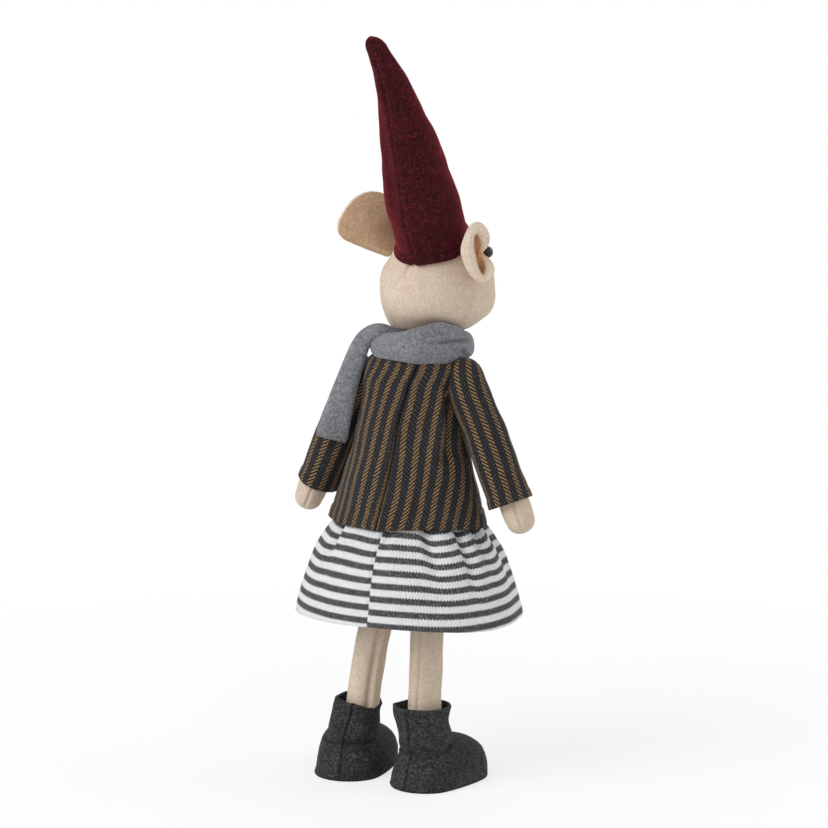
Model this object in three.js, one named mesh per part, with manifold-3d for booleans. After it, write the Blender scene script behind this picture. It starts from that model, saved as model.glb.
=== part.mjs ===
// Standing felt mouse figure with a tall pointed hat, scarf, jacket, skirt and boots.
// Millimetres, +Z up. The figure faces -Y, its own left side is +X, and it stands on its soles.
import * as THREE from 'three';
import { mergeVertices } from 'three/addons/utils/BufferGeometryUtils.js';
import Module from 'manifold-3d';

const wasm = await Module();
wasm.setup();

// Clearances and cloth
const GAP = 0.5; // between pieces that are sewn or laid together
const SEAM = 0.5; // width of a seam between two panels
const FELT = 1.6; // skin of the body, head and hands
const TWEED = 1.4; // jacket cloth
const JERSEY = 1.2; // skirt cloth
const HAT_FELT = 2.2;
const BOOT_FELT = 2;
const EAR_FELT = 1.5;

// Heights above the floor
const ANKLE_Z = 24;
const SKIRT_HEM_Z = 112;
const HIP_Z = 172;
const JACKET_HEM_Z = 176;
const WAIST_Z = 204;
const CHEST_Z = 227;
const ARMPIT_Z = 247;
const SHOULDER_Z = 270;
const NECK_BASE_Z = 287;
const NECK_TOP_Z = 300;
const HEAD_Z = 333.5;

// Stance: the figure leans forward and a little to its right
const STANCE_HALF = 29.5; // half the distance between the heels
const FEET_X = 2; // middle between the heels
const HEEL_Y = -5;
const TORSO = new THREE.Vector2(-3, -25);
const NECK = new THREE.Vector2(-5.5, -41);
const HEAD = new THREE.Vector3(-8, -55, HEAD_Z);

// Torso half widths, and its depth as a share of its width
const HIP_HALF = 33;
const WAIST_HALF = 37;
const CHEST_HALF = 35;
const ARMPIT_HALF = 31.5;
const SHOULDER_HALF = 27.3;
const COLLAR_HALF = 28.5; // half way from shoulder to neck
const NECK_HALF = 15;
const HEM_DEPTH = 0.72;
const HIP_DEPTH = 0.79;
const SHOULDER_DEPTH = 0.62;
const NECK_DEPTH = 0.9;

// Jacket: room between torso and cloth
const JACKET_HEM_EASE = 20;
const JACKET_WAIST_EASE = 8.5;
const JACKET_CHEST_EASE = 3.4;
const JACKET_TOP_EASE = 1;
const BUTTON_R = 5;
const BUTTON_THICK = 2.4;
const BUTTON_FIRST = 14.5; // hem to the lowest button
const BUTTON_PITCH = 24;
const BUTTON_COUNT = 3;

// Skirt
const SKIRT_HEM_HALF = 80;
const SKIRT_FULL_HALF = 65.5; // half way down, where the bell turns
const SKIRT_FULL_Z = 155;
const SKIRT_BELLY = 1.4; // how far the bell stands out past a straight line
const WAISTBAND_WALL = 2;
const WAISTBAND_HEIGHT = 8;
const GATHER_COUNT = 9;
const GATHER_DEPTH = 1.6;
const GATHER_FACETS = 4; // facets in one gather

// Legs
const LEG_R = 10.9;
const LEG_HIP_HALF = 16;
const LEG_FOOT_HALF = { left: 28.5, right: 27.5 };
const ROD_R = 2.2;

// Boots
const SOLE_THICK = 3;
const HEEL_R = 23;
const TOE_R = 26.5;
const FOOT_REACH = 25.5; // heel centre to toe centre
const TOE_HEIGHT = 29;
const TOE_ROUNDNESS = 0.35; // 0.5 would be an arc, less is blunter
const INSTEP_R = 11.8;
const TOE_OUT = { left: 16, right: 5 }; // degrees
const SHAFT_R = 16.8;
const SHAFT_HEIGHT = 30;
const SHAFT_LEAN = 12; // degrees towards the other boot
const SHAFT_TIP = 6; // degrees towards the toe
const WEIGHT_THICK = 6;
const WEIGHT_R = 13;

// Arms and sleeves
const ARM_R = 9.6;
const ARM_LENGTH = 107;
const HAND_R = 10.4;
const HAND_LENGTH = 22;
const ARM_SPLAY = 23.8; // degrees out from the body
const SLEEVE_SPLAY = 22.4;
const ARM_Y = -31;
const SLEEVE_CAP_R = 12;
const SLEEVE_R = 14.6;
const SLEEVE_LENGTH = 84;
const TAB_R = 4.5;

// Head
const HEAD_HALF_X = 38;
const HEAD_HALF_Y = 39.5;
const HEAD_HALF_Z = 43;
const SNOUT_REACH = 24;
const SNOUT_SPREAD = 38; // degrees
const FACE_SEAM_BACK = 13.5; // side seam behind the head's centre
const NECK_HOLE_R = 13;
const HEAD_TURN = 15; // degrees each way

// Eyes and nose
const EYE_R = 4.2;
const EYE_YAW = 53; // degrees from straight ahead
const EYE_PITCH = 25;
const NOSE_R = 5;
const NOSE_PITCH = -3;
const BEAD_PROUD = 1 / 3; // how far a bead's middle stands out, as a share of its radius
const SHANK_R = 1.6;
const WASHER_R = 5;
const WASHER_THICK = 1.4;
const EYE_WASHER_SEAT = 4.5; // skin to washer
const NOSE_WASHER_SEAT = 10;
const SHANK_END = 1.5; // past the washer

// Ears
const EAR_HALF_LENGTH = 22;
const EAR_HALF_HEIGHT = 19.5;
const EAR_DEPTH = 16;
const EAR_SWEEP = { left: 38, right: 60 }; // degrees back from straight out
const EAR_BACK = { left: -1, right: -1 }; // root behind the head's centre
const EAR_RISE = { left: 29, right: 21 }; // root above the head's centre
const EAR_LIFT = { left: 24, right: 2 }; // degrees up

// Hat
const HAT_LENGTH = 148;
const HAT_LEAN = 22; // degrees back
const HAT_HEM_R = 26;
const HAT_BELLY_R = 24.5;
const HAT_MID_R = 20.7;
const HAT_NECK_R = 15.2;
const HAT_TOP_R = 11;
const HAT_TIP_R = 8;
const HAT_BELLY_AT = 0.2; // shares of the hat's length
const HAT_MID_AT = 0.4;
const HAT_NECK_AT = 0.62;
const HAT_TOP_AT = 0.78;
const HAT_TIP_AT = 0.93;
const HAT_CROWN_R = 5.2;
const HAT_CROWN_DROP = 2; // crown's edge below the very tip
const HAT_RISE = 29.5; // head centre to hem, along the hat
const HAT_TIP_BEND = 11; // towards the figure's left

// Scarf
const SCARF_R = 28.5; // middle of the wrap
const SCARF_HALF_THICK = 6.5;
const SCARF_HALF_HEIGHT = 12;
const SCARF_WRAP = new THREE.Vector3(-5.5, -38, 295);
const END_THICK = 5;
const END_TOP_WIDTH = 13;
const END_FOOT_WIDTH = 22;
const END_THINNING = 0.35; // how much thinner a strip is along its edges
const END_STEPS = 10;
const SCARF_BACK_ROUTE = [
  [26.4, -12.9, 299], [30.2, -12, 290], [33.5, -11.5, 277], [40, -10.5, 257], [48.5, -12.5, 231],
];
const SCARF_BACK_FACING = new THREE.Vector3(-0.5, 0.866, 0);
const SCARF_FRONT_ROUTE = [[1, -74.4, 292], [2, -73.2, 281], [3, -67, 266], [4, -62.5, 249], [5, -61.5, 226]];
const SCARF_FRONT_FACING = new THREE.Vector3(0, -1, 0);

// Facets
const ROUND = 16;
const SMALL_ROUND = 10;
const EAR_ROUND = 14;
const EAR_STEPS = 5;
const BEAD_RINGS = 6;
const DOME_STEPS = 4;

const AHEAD = new THREE.Vector3(0, -1, 0);
const SIDES = [['left', 1], ['right', -1]];
const finishes = {
  felt: { color: 0xc9b8a4, roughness: 0.95 },
  filling: { color: 0xf2efe8, roughness: 1 },
  tweed: { color: 0x40382f, roughness: 0.95 },
  jersey: { color: 0xb9b9bb, roughness: 0.95 },
  burgundy: { color: 0x451b20, roughness: 0.95 },
  fleece: { color: 0x7c7c80, roughness: 1 },
  charcoal: { color: 0x363638, roughness: 0.95 },
  black: { color: 0x191817, roughness: 0.15 },
  steel: { color: 0x8c8f93, roughness: 0.45, metalness: 0.9 },
  horn: { color: 0x2d2622, roughness: 0.5 },
  elastic: { color: 0xdedede, roughness: 0.9 },
  washer: { color: 0xdedede, roughness: 0.5 },
};

const figure = new THREE.Group();

// Reads a value off a list of [height, value] pairs, with straight lines between them
function along(table, z) {
  if (z <= table[0][0]) return table[0][1];
  for (let i = 1; i < table.length; i += 1) {
    const [z0, v0] = table[i - 1];
    const [z1, v1] = table[i];
    if (z <= z1) return v0 + ((v1 - v0) * (z - z0)) / (z1 - z0);
  }
  return table.at(-1)[1];
}

const torsoHalf = [
  [HIP_Z, HIP_HALF], [WAIST_Z, WAIST_HALF], [CHEST_Z, CHEST_HALF], [ARMPIT_Z, ARMPIT_HALF],
  [SHOULDER_Z, SHOULDER_HALF], [(SHOULDER_Z + NECK_BASE_Z) / 2, COLLAR_HALF],
  [NECK_BASE_Z, NECK_HALF], [NECK_TOP_Z, NECK_HALF],
];
const jacketEase = [
  [JACKET_HEM_Z, JACKET_HEM_EASE], [WAIST_Z, JACKET_WAIST_EASE], [CHEST_Z, JACKET_CHEST_EASE],
  [ARMPIT_Z, JACKET_TOP_EASE],
];
const bodyDepth = [
  [SKIRT_HEM_Z, HEM_DEPTH], [JACKET_HEM_Z, HIP_DEPTH], [SHOULDER_Z, SHOULDER_DEPTH], [NECK_TOP_Z, NECK_DEPTH],
];
const bodyX = [[SHOULDER_Z, TORSO.x], [NECK_TOP_Z, NECK.x]];
const bodyY = [[SHOULDER_Z, TORSO.y], [NECK_TOP_Z, NECK.y]];
const jacketHalf = (z) => along(torsoHalf, z) + along(jacketEase, z) + TWEED;

// Merges a geometry's shared corners and drops triangles that have lost their area
function closed(geometry) {
  geometry.deleteAttribute('normal');
  geometry.deleteAttribute('uv');
  const merged = mergeVertices(geometry, 1e-4);
  const index = [];
  for (let i = 0; i < merged.index.count; i += 3) {
    const [a, b, c] = [0, 1, 2].map((k) => merged.index.getX(i + k));
    if (a !== b && b !== c && c !== a) index.push(a, b, c);
  }
  merged.setIndex(index);
  return merged;
}

function toSolid(geometry) {
  const merged = closed(geometry.clone());
  return new wasm.Manifold(new wasm.Mesh({
    numProp: 3,
    vertProperties: new Float32Array(merged.attributes.position.array),
    triVerts: new Uint32Array(merged.index.array),
  }));
}

function toGeometry(solid) {
  const { vertProperties, triVerts } = solid.getMesh();
  const geometry = new THREE.BufferGeometry();
  geometry.setAttribute('position', new THREE.BufferAttribute(new Float32Array(vertProperties), 3));
  geometry.setIndex(Array.from(triVerts));
  return geometry;
}

// Takes the cutters away from a geometry
function cut(geometry, cutters) {
  return toGeometry(cutters.reduce((solid, cutter) => solid.subtract(toSolid(cutter)), toSolid(geometry)));
}

// Keeps the part of a geometry that lies inside a box
function keep(geometry, low, high) {
  return toGeometry(toSolid(geometry).intersect(toSolid(block(low, high))));
}

function block(low, high) {
  const size = high.map((value, i) => value - low[i]);
  const middle = high.map((value, i) => (value + low[i]) / 2);
  return new THREE.BoxGeometry(...size).translate(...middle);
}

// A turned shape about Z from [radius, height] pairs, listed up the outside
function turned(profile, segments = ROUND) {
  const points = profile.map(([r, z]) => new THREE.Vector2(r, z));
  return closed(new THREE.LatheGeometry(points, segments).rotateX(Math.PI / 2));
}

// A turned wall that is open at both ends
function tubeWall(outer, wall, segments = ROUND) {
  const inner = outer.map(([r, z]) => [r - wall, z]).reverse();
  return turned([...outer, ...inner, outer[0]], segments);
}

// Moves each corner of a geometry by a function of its place
function reshape(geometry, move) {
  const place = geometry.attributes.position;
  const point = new THREE.Vector3();
  for (let i = 0; i < place.count; i += 1) {
    move(point.fromBufferAttribute(place, i));
    place.setXYZ(i, point.x, point.y, point.z);
  }
  return geometry;
}

// Gives a turned shape the body's oval section and its leaning middle line
function onBody(geometry) {
  return reshape(geometry, (p) => {
    p.x += along(bodyX, p.z);
    p.y = p.y * along(bodyDepth, p.z) + along(bodyY, p.z);
  });
}

function cylinderAlong(from, to, radius, segments = SMALL_ROUND) {
  const axis = new THREE.Vector3().subVectors(to, from);
  const rod = new THREE.CylinderGeometry(radius, radius, axis.length(), segments);
  const turn = new THREE.Quaternion().setFromUnitVectors(new THREE.Vector3(0, 1, 0), axis.normalize());
  return rod.applyQuaternion(turn).translate(...from.clone().add(to).multiplyScalar(0.5).toArray());
}

function add(name, geometry, finish, parent = figure) {
  const mesh = new THREE.Mesh(closed(geometry), new THREE.MeshStandardMaterial(finish));
  mesh.name = name;
  parent.add(mesh);
}

function addTorso() {
  const heights = torsoHalf.map(([z]) => z);
  const skin = heights.map((z) => [along(torsoHalf, z), z]);
  const inside = FELT + GAP;
  const lining = heights.map((z) => [along(torsoHalf, z) - FELT, Math.max(z, HIP_Z + FELT)]).reverse();
  add('torso_skin', onBody(turned([[0, HIP_Z], ...skin, ...lining, [0, HIP_Z + FELT]])), finishes.felt);
  const stuffing = heights.map((z) => [along(torsoHalf, z) - inside, Math.max(z, HIP_Z + inside)]);
  add('torso_filling', onBody(turned([[0, HIP_Z + inside], ...stuffing, [0, NECK_TOP_Z]])), finishes.filling);
}

// A leg leans from its boot to the hip
function legLine(name, side) {
  const footZ = SOLE_THICK + WEIGHT_THICK + 2 * GAP;
  const foot = new THREE.Vector3(FEET_X + side * LEG_FOOT_HALF[name], HEEL_Y, footZ);
  const hip = new THREE.Vector3(side * LEG_HIP_HALF + TORSO.x, TORSO.y, HIP_Z - GAP);
  return [foot, hip];
}

function addLeg(name, side) {
  const [foot, hip] = legLine(name, side);
  const lean = (geometry) => reshape(geometry, (p) => {
    const share = (p.z - foot.z) / (hip.z - foot.z);
    p.x += THREE.MathUtils.lerp(foot.x, hip.x, share);
    p.y += THREE.MathUtils.lerp(foot.y, hip.y, share);
  });
  const tube = (outer, inner) => tubeWall([[outer, foot.z], [outer, hip.z]], outer - inner, SMALL_ROUND);
  add(`${name}_leg_skin`, lean(tube(LEG_R, LEG_R - FELT)), finishes.felt);
  add(`${name}_leg_filling`, lean(tube(LEG_R - FELT - GAP, ROD_R + GAP)), finishes.filling);
  const rod = turned([[0, foot.z], [ROD_R, foot.z], [ROD_R, hip.z], [0, hip.z]], SMALL_ROUND);
  add(`${name}_leg_rod`, lean(rod), finishes.steel);
}

// Stretches a turned shape into a foot: its front half goes ahead and takes the toe's width
function toFoot(geometry, toeShare) {
  return reshape(geometry, (p) => {
    if (p.y > -1e-6) return;
    const wider = along(toeShare, p.z);
    p.x *= wider;
    p.y = p.y * wider - FOOT_REACH;
  });
}

// The rounded body of a foot above its sole, taken in by an even amount
function footForm(inset) {
  const base = SOLE_THICK + GAP;
  const top = TOE_HEIGHT - inset;
  const halfway = (base + ANKLE_Z) / 2;
  const ankle = ANKLE_Z - inset;
  const toe = (z) => (TOE_R - inset) * (1 - ((z - base) / (top - base)) ** 2) ** TOE_ROUNDNESS;
  const heel = [
    [HEEL_R - inset, base], [HEEL_R - inset, halfway], [SHAFT_R - inset, ankle],
    [INSTEP_R - inset, (ankle + top) / 2],
  ];
  const toeShare = heel.map(([r, z]) => [z, toe(z) / r]);
  return toFoot(turned([[0, base], ...heel, [0, top]]), toeShare);
}

function addBoot(name, side) {
  const boot = new THREE.Group();
  boot.position.set(FEET_X + side * STANCE_HALF, HEEL_Y, 0);
  boot.rotation.z = THREE.MathUtils.degToRad(side * TOE_OUT[name]);
  figure.add(boot);

  const lean = Math.tan(THREE.MathUtils.degToRad(SHAFT_LEAN)) * side;
  const tip = Math.tan(THREE.MathUtils.degToRad(SHAFT_TIP));
  const onAnkle = (geometry) => reshape(geometry, (p) => {
    p.x -= lean * p.z;
    p.y -= tip * p.z;
    p.z += ANKLE_Z;
  });
  const plug = (radius, from, to) => turned([[0, from], [radius, from], [radius, to], [0, to]]);

  const sole = toFoot(plug(HEEL_R, 0, SOLE_THICK), [[0, TOE_R / HEEL_R]]);
  add(`${name}_boot_sole`, sole, finishes.charcoal, boot);
  const shaftRoom = onAnkle(plug(SHAFT_R + GAP, 0, SHAFT_HEIGHT));
  const bore = plug(SHAFT_R - BOOT_FELT, 0, TOE_HEIGHT + SHAFT_HEIGHT);
  const hollow = footForm(BOOT_FELT).translate(0, 0, -GAP);
  add(`${name}_boot_upper`, cut(footForm(0), [hollow, shaftRoom, bore]), finishes.charcoal, boot);
  const shaft = onAnkle(tubeWall([[SHAFT_R, GAP], [SHAFT_R, SHAFT_HEIGHT]], BOOT_FELT));
  add(`${name}_boot_shaft`, shaft, finishes.charcoal, boot);
  const weight = plug(WEIGHT_R, SOLE_THICK + GAP, SOLE_THICK + GAP + WEIGHT_THICK);
  add(`${name}_boot_weight`, weight, finishes.steel, boot);
}

function addSkirt() {
  const top = WAIST_Z - GAP;
  const waist = along(torsoHalf, WAIST_Z) + GAP + WAISTBAND_WALL;
  const underJacket = jacketHalf(JACKET_HEM_Z) - TWEED - 2 * GAP - GATHER_DEPTH;
  const profile = [
    [SKIRT_HEM_HALF, SKIRT_HEM_Z],
    [(SKIRT_HEM_HALF * 2 + SKIRT_FULL_HALF) / 3 + SKIRT_BELLY, (SKIRT_HEM_Z * 2 + SKIRT_FULL_Z) / 3],
    [(SKIRT_HEM_HALF + SKIRT_FULL_HALF * 2) / 3 + SKIRT_BELLY, (SKIRT_HEM_Z + SKIRT_FULL_Z * 2) / 3],
    [SKIRT_FULL_HALF, SKIRT_FULL_Z],
    [(SKIRT_FULL_HALF + underJacket) / 2 + SKIRT_BELLY, (SKIRT_FULL_Z + JACKET_HEM_Z) / 2],
    [underJacket, JACKET_HEM_Z],
    [(underJacket + waist) / 2, (JACKET_HEM_Z + top) / 2],
    [waist, top],
  ];
  const gathered = reshape(tubeWall(profile, JERSEY, GATHER_COUNT * GATHER_FACETS), (p) => {
    const fall = THREE.MathUtils.clamp((JACKET_HEM_Z - p.z) / (JACKET_HEM_Z - SKIRT_HEM_Z), 0, 1);
    const wave = 1 + (GATHER_DEPTH * fall * Math.cos(GATHER_COUNT * Math.atan2(p.y, p.x))) / SKIRT_HEM_HALF;
    p.x *= wave;
    p.y *= wave;
  });
  add('skirt', onBody(gathered), finishes.jersey);
  const band = tubeWall([[waist, WAIST_Z], [waist, WAIST_Z + WAISTBAND_HEIGHT]], WAISTBAND_WALL);
  add('skirt_waistband', onBody(band), finishes.elastic);
}

function shoulder(side) {
  const reach = jacketHalf(SHOULDER_Z) + SLEEVE_CAP_R + GAP;
  return new THREE.Vector3(TORSO.x + side * reach, ARM_Y, SHOULDER_Z);
}

// The cord-like tab that an arm turns on, from inside the torso seam out to the arm
function shoulderTab(side, radius) {
  const pivot = shoulder(side);
  const edgeX = TORSO.x + side * (along(torsoHalf, SHOULDER_Z) + GAP);
  const torsoEdge = new THREE.Vector3(edgeX, pivot.y, pivot.z);
  return cylinderAlong(torsoEdge, pivot.clone().setX(pivot.x - side * GAP), radius);
}

function addJacket() {
  const bodyHeights = torsoHalf.map(([z]) => z).filter((z) => z >= WAIST_Z);
  const heights = [JACKET_HEM_Z, (JACKET_HEM_Z + WAIST_Z) / 2, ...bodyHeights]
    .filter((z) => z < NECK_TOP_Z);
  const shell = onBody(tubeWall(heights.map((z) => [jacketHalf(z), z]), TWEED));
  const holes = SIDES.map(([, side]) => shoulderTab(side, TAB_R + GAP));
  const body = cut(shell, holes);
  const wide = SKIRT_HEM_HALF * 2;
  const low = [TORSO.x - wide, TORSO.y - wide, 0];
  const high = [TORSO.x + wide, TORSO.y + wide, NECK_TOP_Z];
  const sideSeam = TORSO.y;
  for (const [name, side] of SIDES) {
    const middle = TORSO.x + (side * SEAM) / 2;
    const from = side > 0 ? middle : low[0];
    const to = side > 0 ? high[0] : middle;
    const back = keep(body, [from, sideSeam + SEAM / 2, low[2]], [to, high[1], high[2]]);
    add(`jacket_back_${name}`, back, finishes.tweed);
    const front = keep(body, [from, low[1], low[2]], [to, sideSeam - SEAM / 2, high[2]]);
    add(`jacket_front_${name}`, front, finishes.tweed);
  }
  const front = (z) => along(bodyY, z) - jacketHalf(z) * along(bodyDepth, z);
  for (let i = 0; i < BUTTON_COUNT; i += 1) {
    const z = JACKET_HEM_Z + BUTTON_FIRST + BUTTON_PITCH * i;
    const slope = (front(z + BUTTON_R) - front(z - BUTTON_R)) / (2 * BUTTON_R);
    const out = new THREE.Vector3(0, -1, slope).normalize();
    const seat = Math.min(front(z), (front(z + BUTTON_R) + front(z - BUTTON_R)) / 2);
    const base = new THREE.Vector3(TORSO.x, seat, z).addScaledVector(out, GAP);
    const button = cylinderAlong(base, base.clone().addScaledVector(out, BUTTON_THICK), BUTTON_R);
    add(`jacket_button_${i + 1}`, button, finishes.horn);
  }
}

// Outline of a half ball on a pivot, from its rim up to the axis
function dome(radius) {
  return Array.from({ length: DOME_STEPS + 1 }, (_, i) => {
    const angle = (i / DOME_STEPS) * (Math.PI / 2);
    return [i < DOME_STEPS ? radius * Math.cos(angle) : 0, radius * Math.sin(angle)];
  });
}

// A limb that hangs from a half ball on its pivot down to a rounded end
function limb(capR, endR, length, tipLength) {
  const tip = dome(1).reverse().map(([r, z]) => [r * endR, tipLength - length - z * tipLength]);
  return turned([...tip, ...dome(capR)], SMALL_ROUND);
}

// A group that hangs from a shoulder, turned out from the body
function hanging(side, degrees) {
  const group = new THREE.Group();
  group.position.copy(shoulder(side));
  group.rotation.y = THREE.MathUtils.degToRad(-side * degrees);
  figure.add(group);
  return group;
}

// Room for the shoulder tab, in the frame of a hanging group
function tabRoom(side, group) {
  group.updateMatrix();
  return shoulderTab(side, TAB_R + GAP).applyMatrix4(group.matrix.clone().invert());
}

function addArm(name, side) {
  const arm = hanging(side, ARM_SPLAY);
  const room = tabRoom(side, arm);
  const form = (inset) => limb(ARM_R - inset, HAND_R - inset, ARM_LENGTH - inset, HAND_LENGTH - inset);
  const roomEnd = new THREE.SphereGeometry(TAB_R + 2 * GAP, SMALL_ROUND, SMALL_ROUND / 2);
  add(`${name}_arm_skin`, cut(form(0), [form(FELT), room]), finishes.felt, arm);
  add(`${name}_arm_filling`, cut(form(FELT + GAP), [room, roomEnd]), finishes.filling, arm);
  add(`${name}_shoulder_tab`, shoulderTab(side, TAB_R), finishes.felt);

  const sleeve = hanging(side, SLEEVE_SPLAY);
  const wall = (inset) => [
    [SLEEVE_R - inset, -SLEEVE_LENGTH], [SLEEVE_R - inset, -SLEEVE_LENGTH / 2], ...dome(SLEEVE_CAP_R - inset),
  ];
  const tube = turned([...wall(0), ...wall(TWEED).reverse(), wall(0)[0]], SMALL_ROUND);
  add(`${name}_sleeve`, cut(tube, [tabRoom(side, sleeve)]), finishes.tweed, sleeve);
}

// The head as one egg with a snout, taken in by an even amount and turned about the neck
function headForm(inset, turn = 0) {
  const ball = closed(new THREE.SphereGeometry(1, ROUND, ROUND / 2));
  reshape(ball, (p) => toHead(p, inset));
  ball.translate(-NECK.x, -NECK.y, 0);
  return ball.rotateZ(THREE.MathUtils.degToRad(turn)).translate(NECK.x, NECK.y, 0);
}

// Moves a point of a unit ball onto the head
function toHead(p, inset) {
  const angle = p.angleTo(AHEAD) / THREE.MathUtils.degToRad(SNOUT_SPREAD);
  const snout = SNOUT_REACH * Math.exp(-2 * angle ** 2);
  const [halfX, halfY, halfZ] = [HEAD_HALF_X, HEAD_HALF_Y, HEAD_HALF_Z].map((half) => half - inset);
  return p.set(p.x * halfX, p.y * halfY - snout, p.z * halfZ).add(HEAD);
}

// Point on the head's skin in a direction from its centre, and the way out of the skin there
function onHead(yaw, pitch, side) {
  const skin = (dYaw, dPitch) => {
    const [a, b] = [yaw + dYaw, pitch + dPitch].map(THREE.MathUtils.degToRad);
    const way = new THREE.Vector3(side * Math.sin(a) * Math.cos(b), -Math.cos(a) * Math.cos(b), Math.sin(b));
    return toHead(way, 0);
  };
  const point = skin(0, 0);
  const unit = skin(1, 0).sub(skin(-1, 0)).cross(skin(0, 1).sub(skin(0, -1))).normalize();
  if (unit.dot(point.clone().sub(HEAD)) < 0) unit.negate();
  return { point, unit };
}

// A bead on the skin, with a shank through it that a washer holds inside
const beads = [
  ...SIDES.map(([name, side]) => ({
    name: `${name}_eye`, radius: EYE_R, seat: EYE_WASHER_SEAT, ...onHead(EYE_YAW, EYE_PITCH, side),
  })),
  { name: 'nose', radius: NOSE_R, seat: NOSE_WASHER_SEAT, ...onHead(0, NOSE_PITCH, 1) },
].map((bead) => {
  const at = (distance) => bead.point.clone().addScaledVector(bead.unit, distance);
  const depth = bead.seat + WASHER_THICK + SHANK_END;
  const shank = (radius) => cylinderAlong(at(-depth), at(bead.radius * BEAD_PROUD), radius);
  return { ...bead, at, depth, shank };
});

function addHead() {
  const neckRoom = turned([[0, 0], [NECK_HOLE_R, 0], [NECK_HOLE_R, HEAD_Z], [0, HEAD_Z]])
    .translate(NECK.x, NECK.y, 0);
  const floor = NECK_TOP_Z + GAP;
  const wide = HEAD_HALF_X + HEAD_HALF_Y + SNOUT_REACH;
  const low = [HEAD.x - wide, HEAD.y - wide, floor];
  const high = [HEAD.x + wide, HEAD.y + wide, HEAD.z + wide];
  const shankHoles = beads.map(({ shank }) => shank(SHANK_R + GAP));
  const shell = cut(headForm(0), [headForm(FELT), neckRoom, ...shankHoles]);
  const seamY = HEAD.y + FACE_SEAM_BACK;
  add('head_back_panel', keep(shell, [low[0], seamY + SEAM / 2, floor], high), finishes.felt);
  for (const [name, side] of SIDES) {
    const middle = HEAD.x + (side * SEAM) / 2;
    const from = side > 0 ? middle : low[0];
    const to = side > 0 ? high[0] : middle;
    const face = keep(shell, [from, low[1], floor], [to, seamY - SEAM / 2, high[2]]);
    add(`${name}_face_panel`, face, finishes.felt);
  }
  const rooms = beads.map(({ at, depth }) => cylinderAlong(at(-depth - GAP), at(0), WASHER_R + GAP));
  add('head_filling', cut(keep(headForm(FELT + GAP), low, high), rooms), finishes.filling);

  const skin = toSolid(headForm(-GAP));
  for (const { name, radius, seat, at, shank } of beads) {
    const ball = new THREE.SphereGeometry(radius, SMALL_ROUND, BEAD_RINGS);
    const dome = toSolid(ball.translate(...at(radius * BEAD_PROUD).toArray())).subtract(skin);
    add(name, toGeometry(dome.add(toSolid(shank(SHANK_R)))), finishes.black);
    const washer = cylinderAlong(at(-seat - WASHER_THICK), at(-seat), WASHER_R);
    add(`${name}_washer`, cut(washer, [shank(SHANK_R + GAP)]), finishes.washer);
  }
}

// One layer of a cupped ear, as a half ball that opens towards +Z
function earLayer(inset) {
  const bowl = (less) => Array.from({ length: EAR_STEPS + 1 }, (_, i) => {
    const angle = (i / EAR_STEPS - 1) * (Math.PI / 2);
    return [(1 - less / EAR_HALF_HEIGHT) * Math.cos(angle), (1 - less / EAR_DEPTH) * Math.sin(angle)];
  });
  const outside = bowl(inset);
  const inside = bowl(inset + EAR_FELT);
  outside[0][0] = 0;
  inside[0][0] = 0;
  const profile = [...outside, ...inside.reverse()];
  return turned(profile, EAR_ROUND).scale(EAR_HALF_LENGTH, EAR_HALF_HEIGHT, EAR_DEPTH);
}

function addEar(name, side) {
  const sweep = THREE.MathUtils.degToRad(EAR_SWEEP[name]);
  const lift = THREE.MathUtils.degToRad(EAR_LIFT[name]);
  const level = new THREE.Vector3(side * Math.cos(sweep), Math.sin(sweep), 0);
  const out = level.clone().multiplyScalar(Math.cos(lift)).setZ(Math.sin(lift));
  const facing = new THREE.Vector3(side * Math.sin(sweep), -Math.cos(sweep), 0);
  const across = new THREE.Vector3().crossVectors(facing, out);
  const [back, rise] = [EAR_BACK[name], EAR_RISE[name]];
  const girth = Math.sqrt(1 - (rise / HEAD_HALF_Z) ** 2 - (back / HEAD_HALF_Y) ** 2);
  const root = new THREE.Vector3(side * (HEAD_HALF_X * girth + GAP), back, rise).add(HEAD);
  const middle = root.addScaledVector(out, EAR_HALF_LENGTH);
  const place = new THREE.Matrix4().makeBasis(out, across, facing).setPosition(middle);
  const head = headForm(-GAP);
  for (const [layer, inset] of [['outer', 0], ['inner', EAR_FELT + GAP]]) {
    add(`${name}_ear_${layer}`, cut(earLayer(inset).applyMatrix4(place), [head]), finishes.felt);
  }
}

// The hat stands on the head from a given height above its hem, and leans back
function hatForm(inset, start) {
  const profile = [
    [HAT_HEM_R, 0], [HAT_BELLY_R, HAT_BELLY_AT], [HAT_MID_R, HAT_MID_AT],
    [HAT_NECK_R, HAT_NECK_AT], [HAT_TOP_R, HAT_TOP_AT], [HAT_TIP_R, HAT_TIP_AT],
  ].map(([r, share]) => [r - inset, share > 0 ? share * HAT_LENGTH : start]);
  const crown = [[HAT_CROWN_R - inset / 2, HAT_LENGTH - inset - HAT_CROWN_DROP], [0, HAT_LENGTH - inset]];
  const cone = turned([[0, start], ...profile, ...crown]);
  reshape(cone, (p) => {
    p.x += HAT_TIP_BEND * Math.max(p.z / HAT_LENGTH, 0) ** 4;
    p.z += HAT_RISE;
  });
  return cone.rotateX(THREE.MathUtils.degToRad(-HAT_LEAN)).translate(...HEAD.toArray());
}

function addHat() {
  const head = headForm(-GAP);
  add('hat', cut(hatForm(0, 0), [hatForm(HAT_FELT, -GAP), head]), finishes.burgundy);
  add('hat_filling', cut(hatForm(HAT_FELT + GAP, HAT_FELT), [head]), finishes.filling);
}

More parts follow.
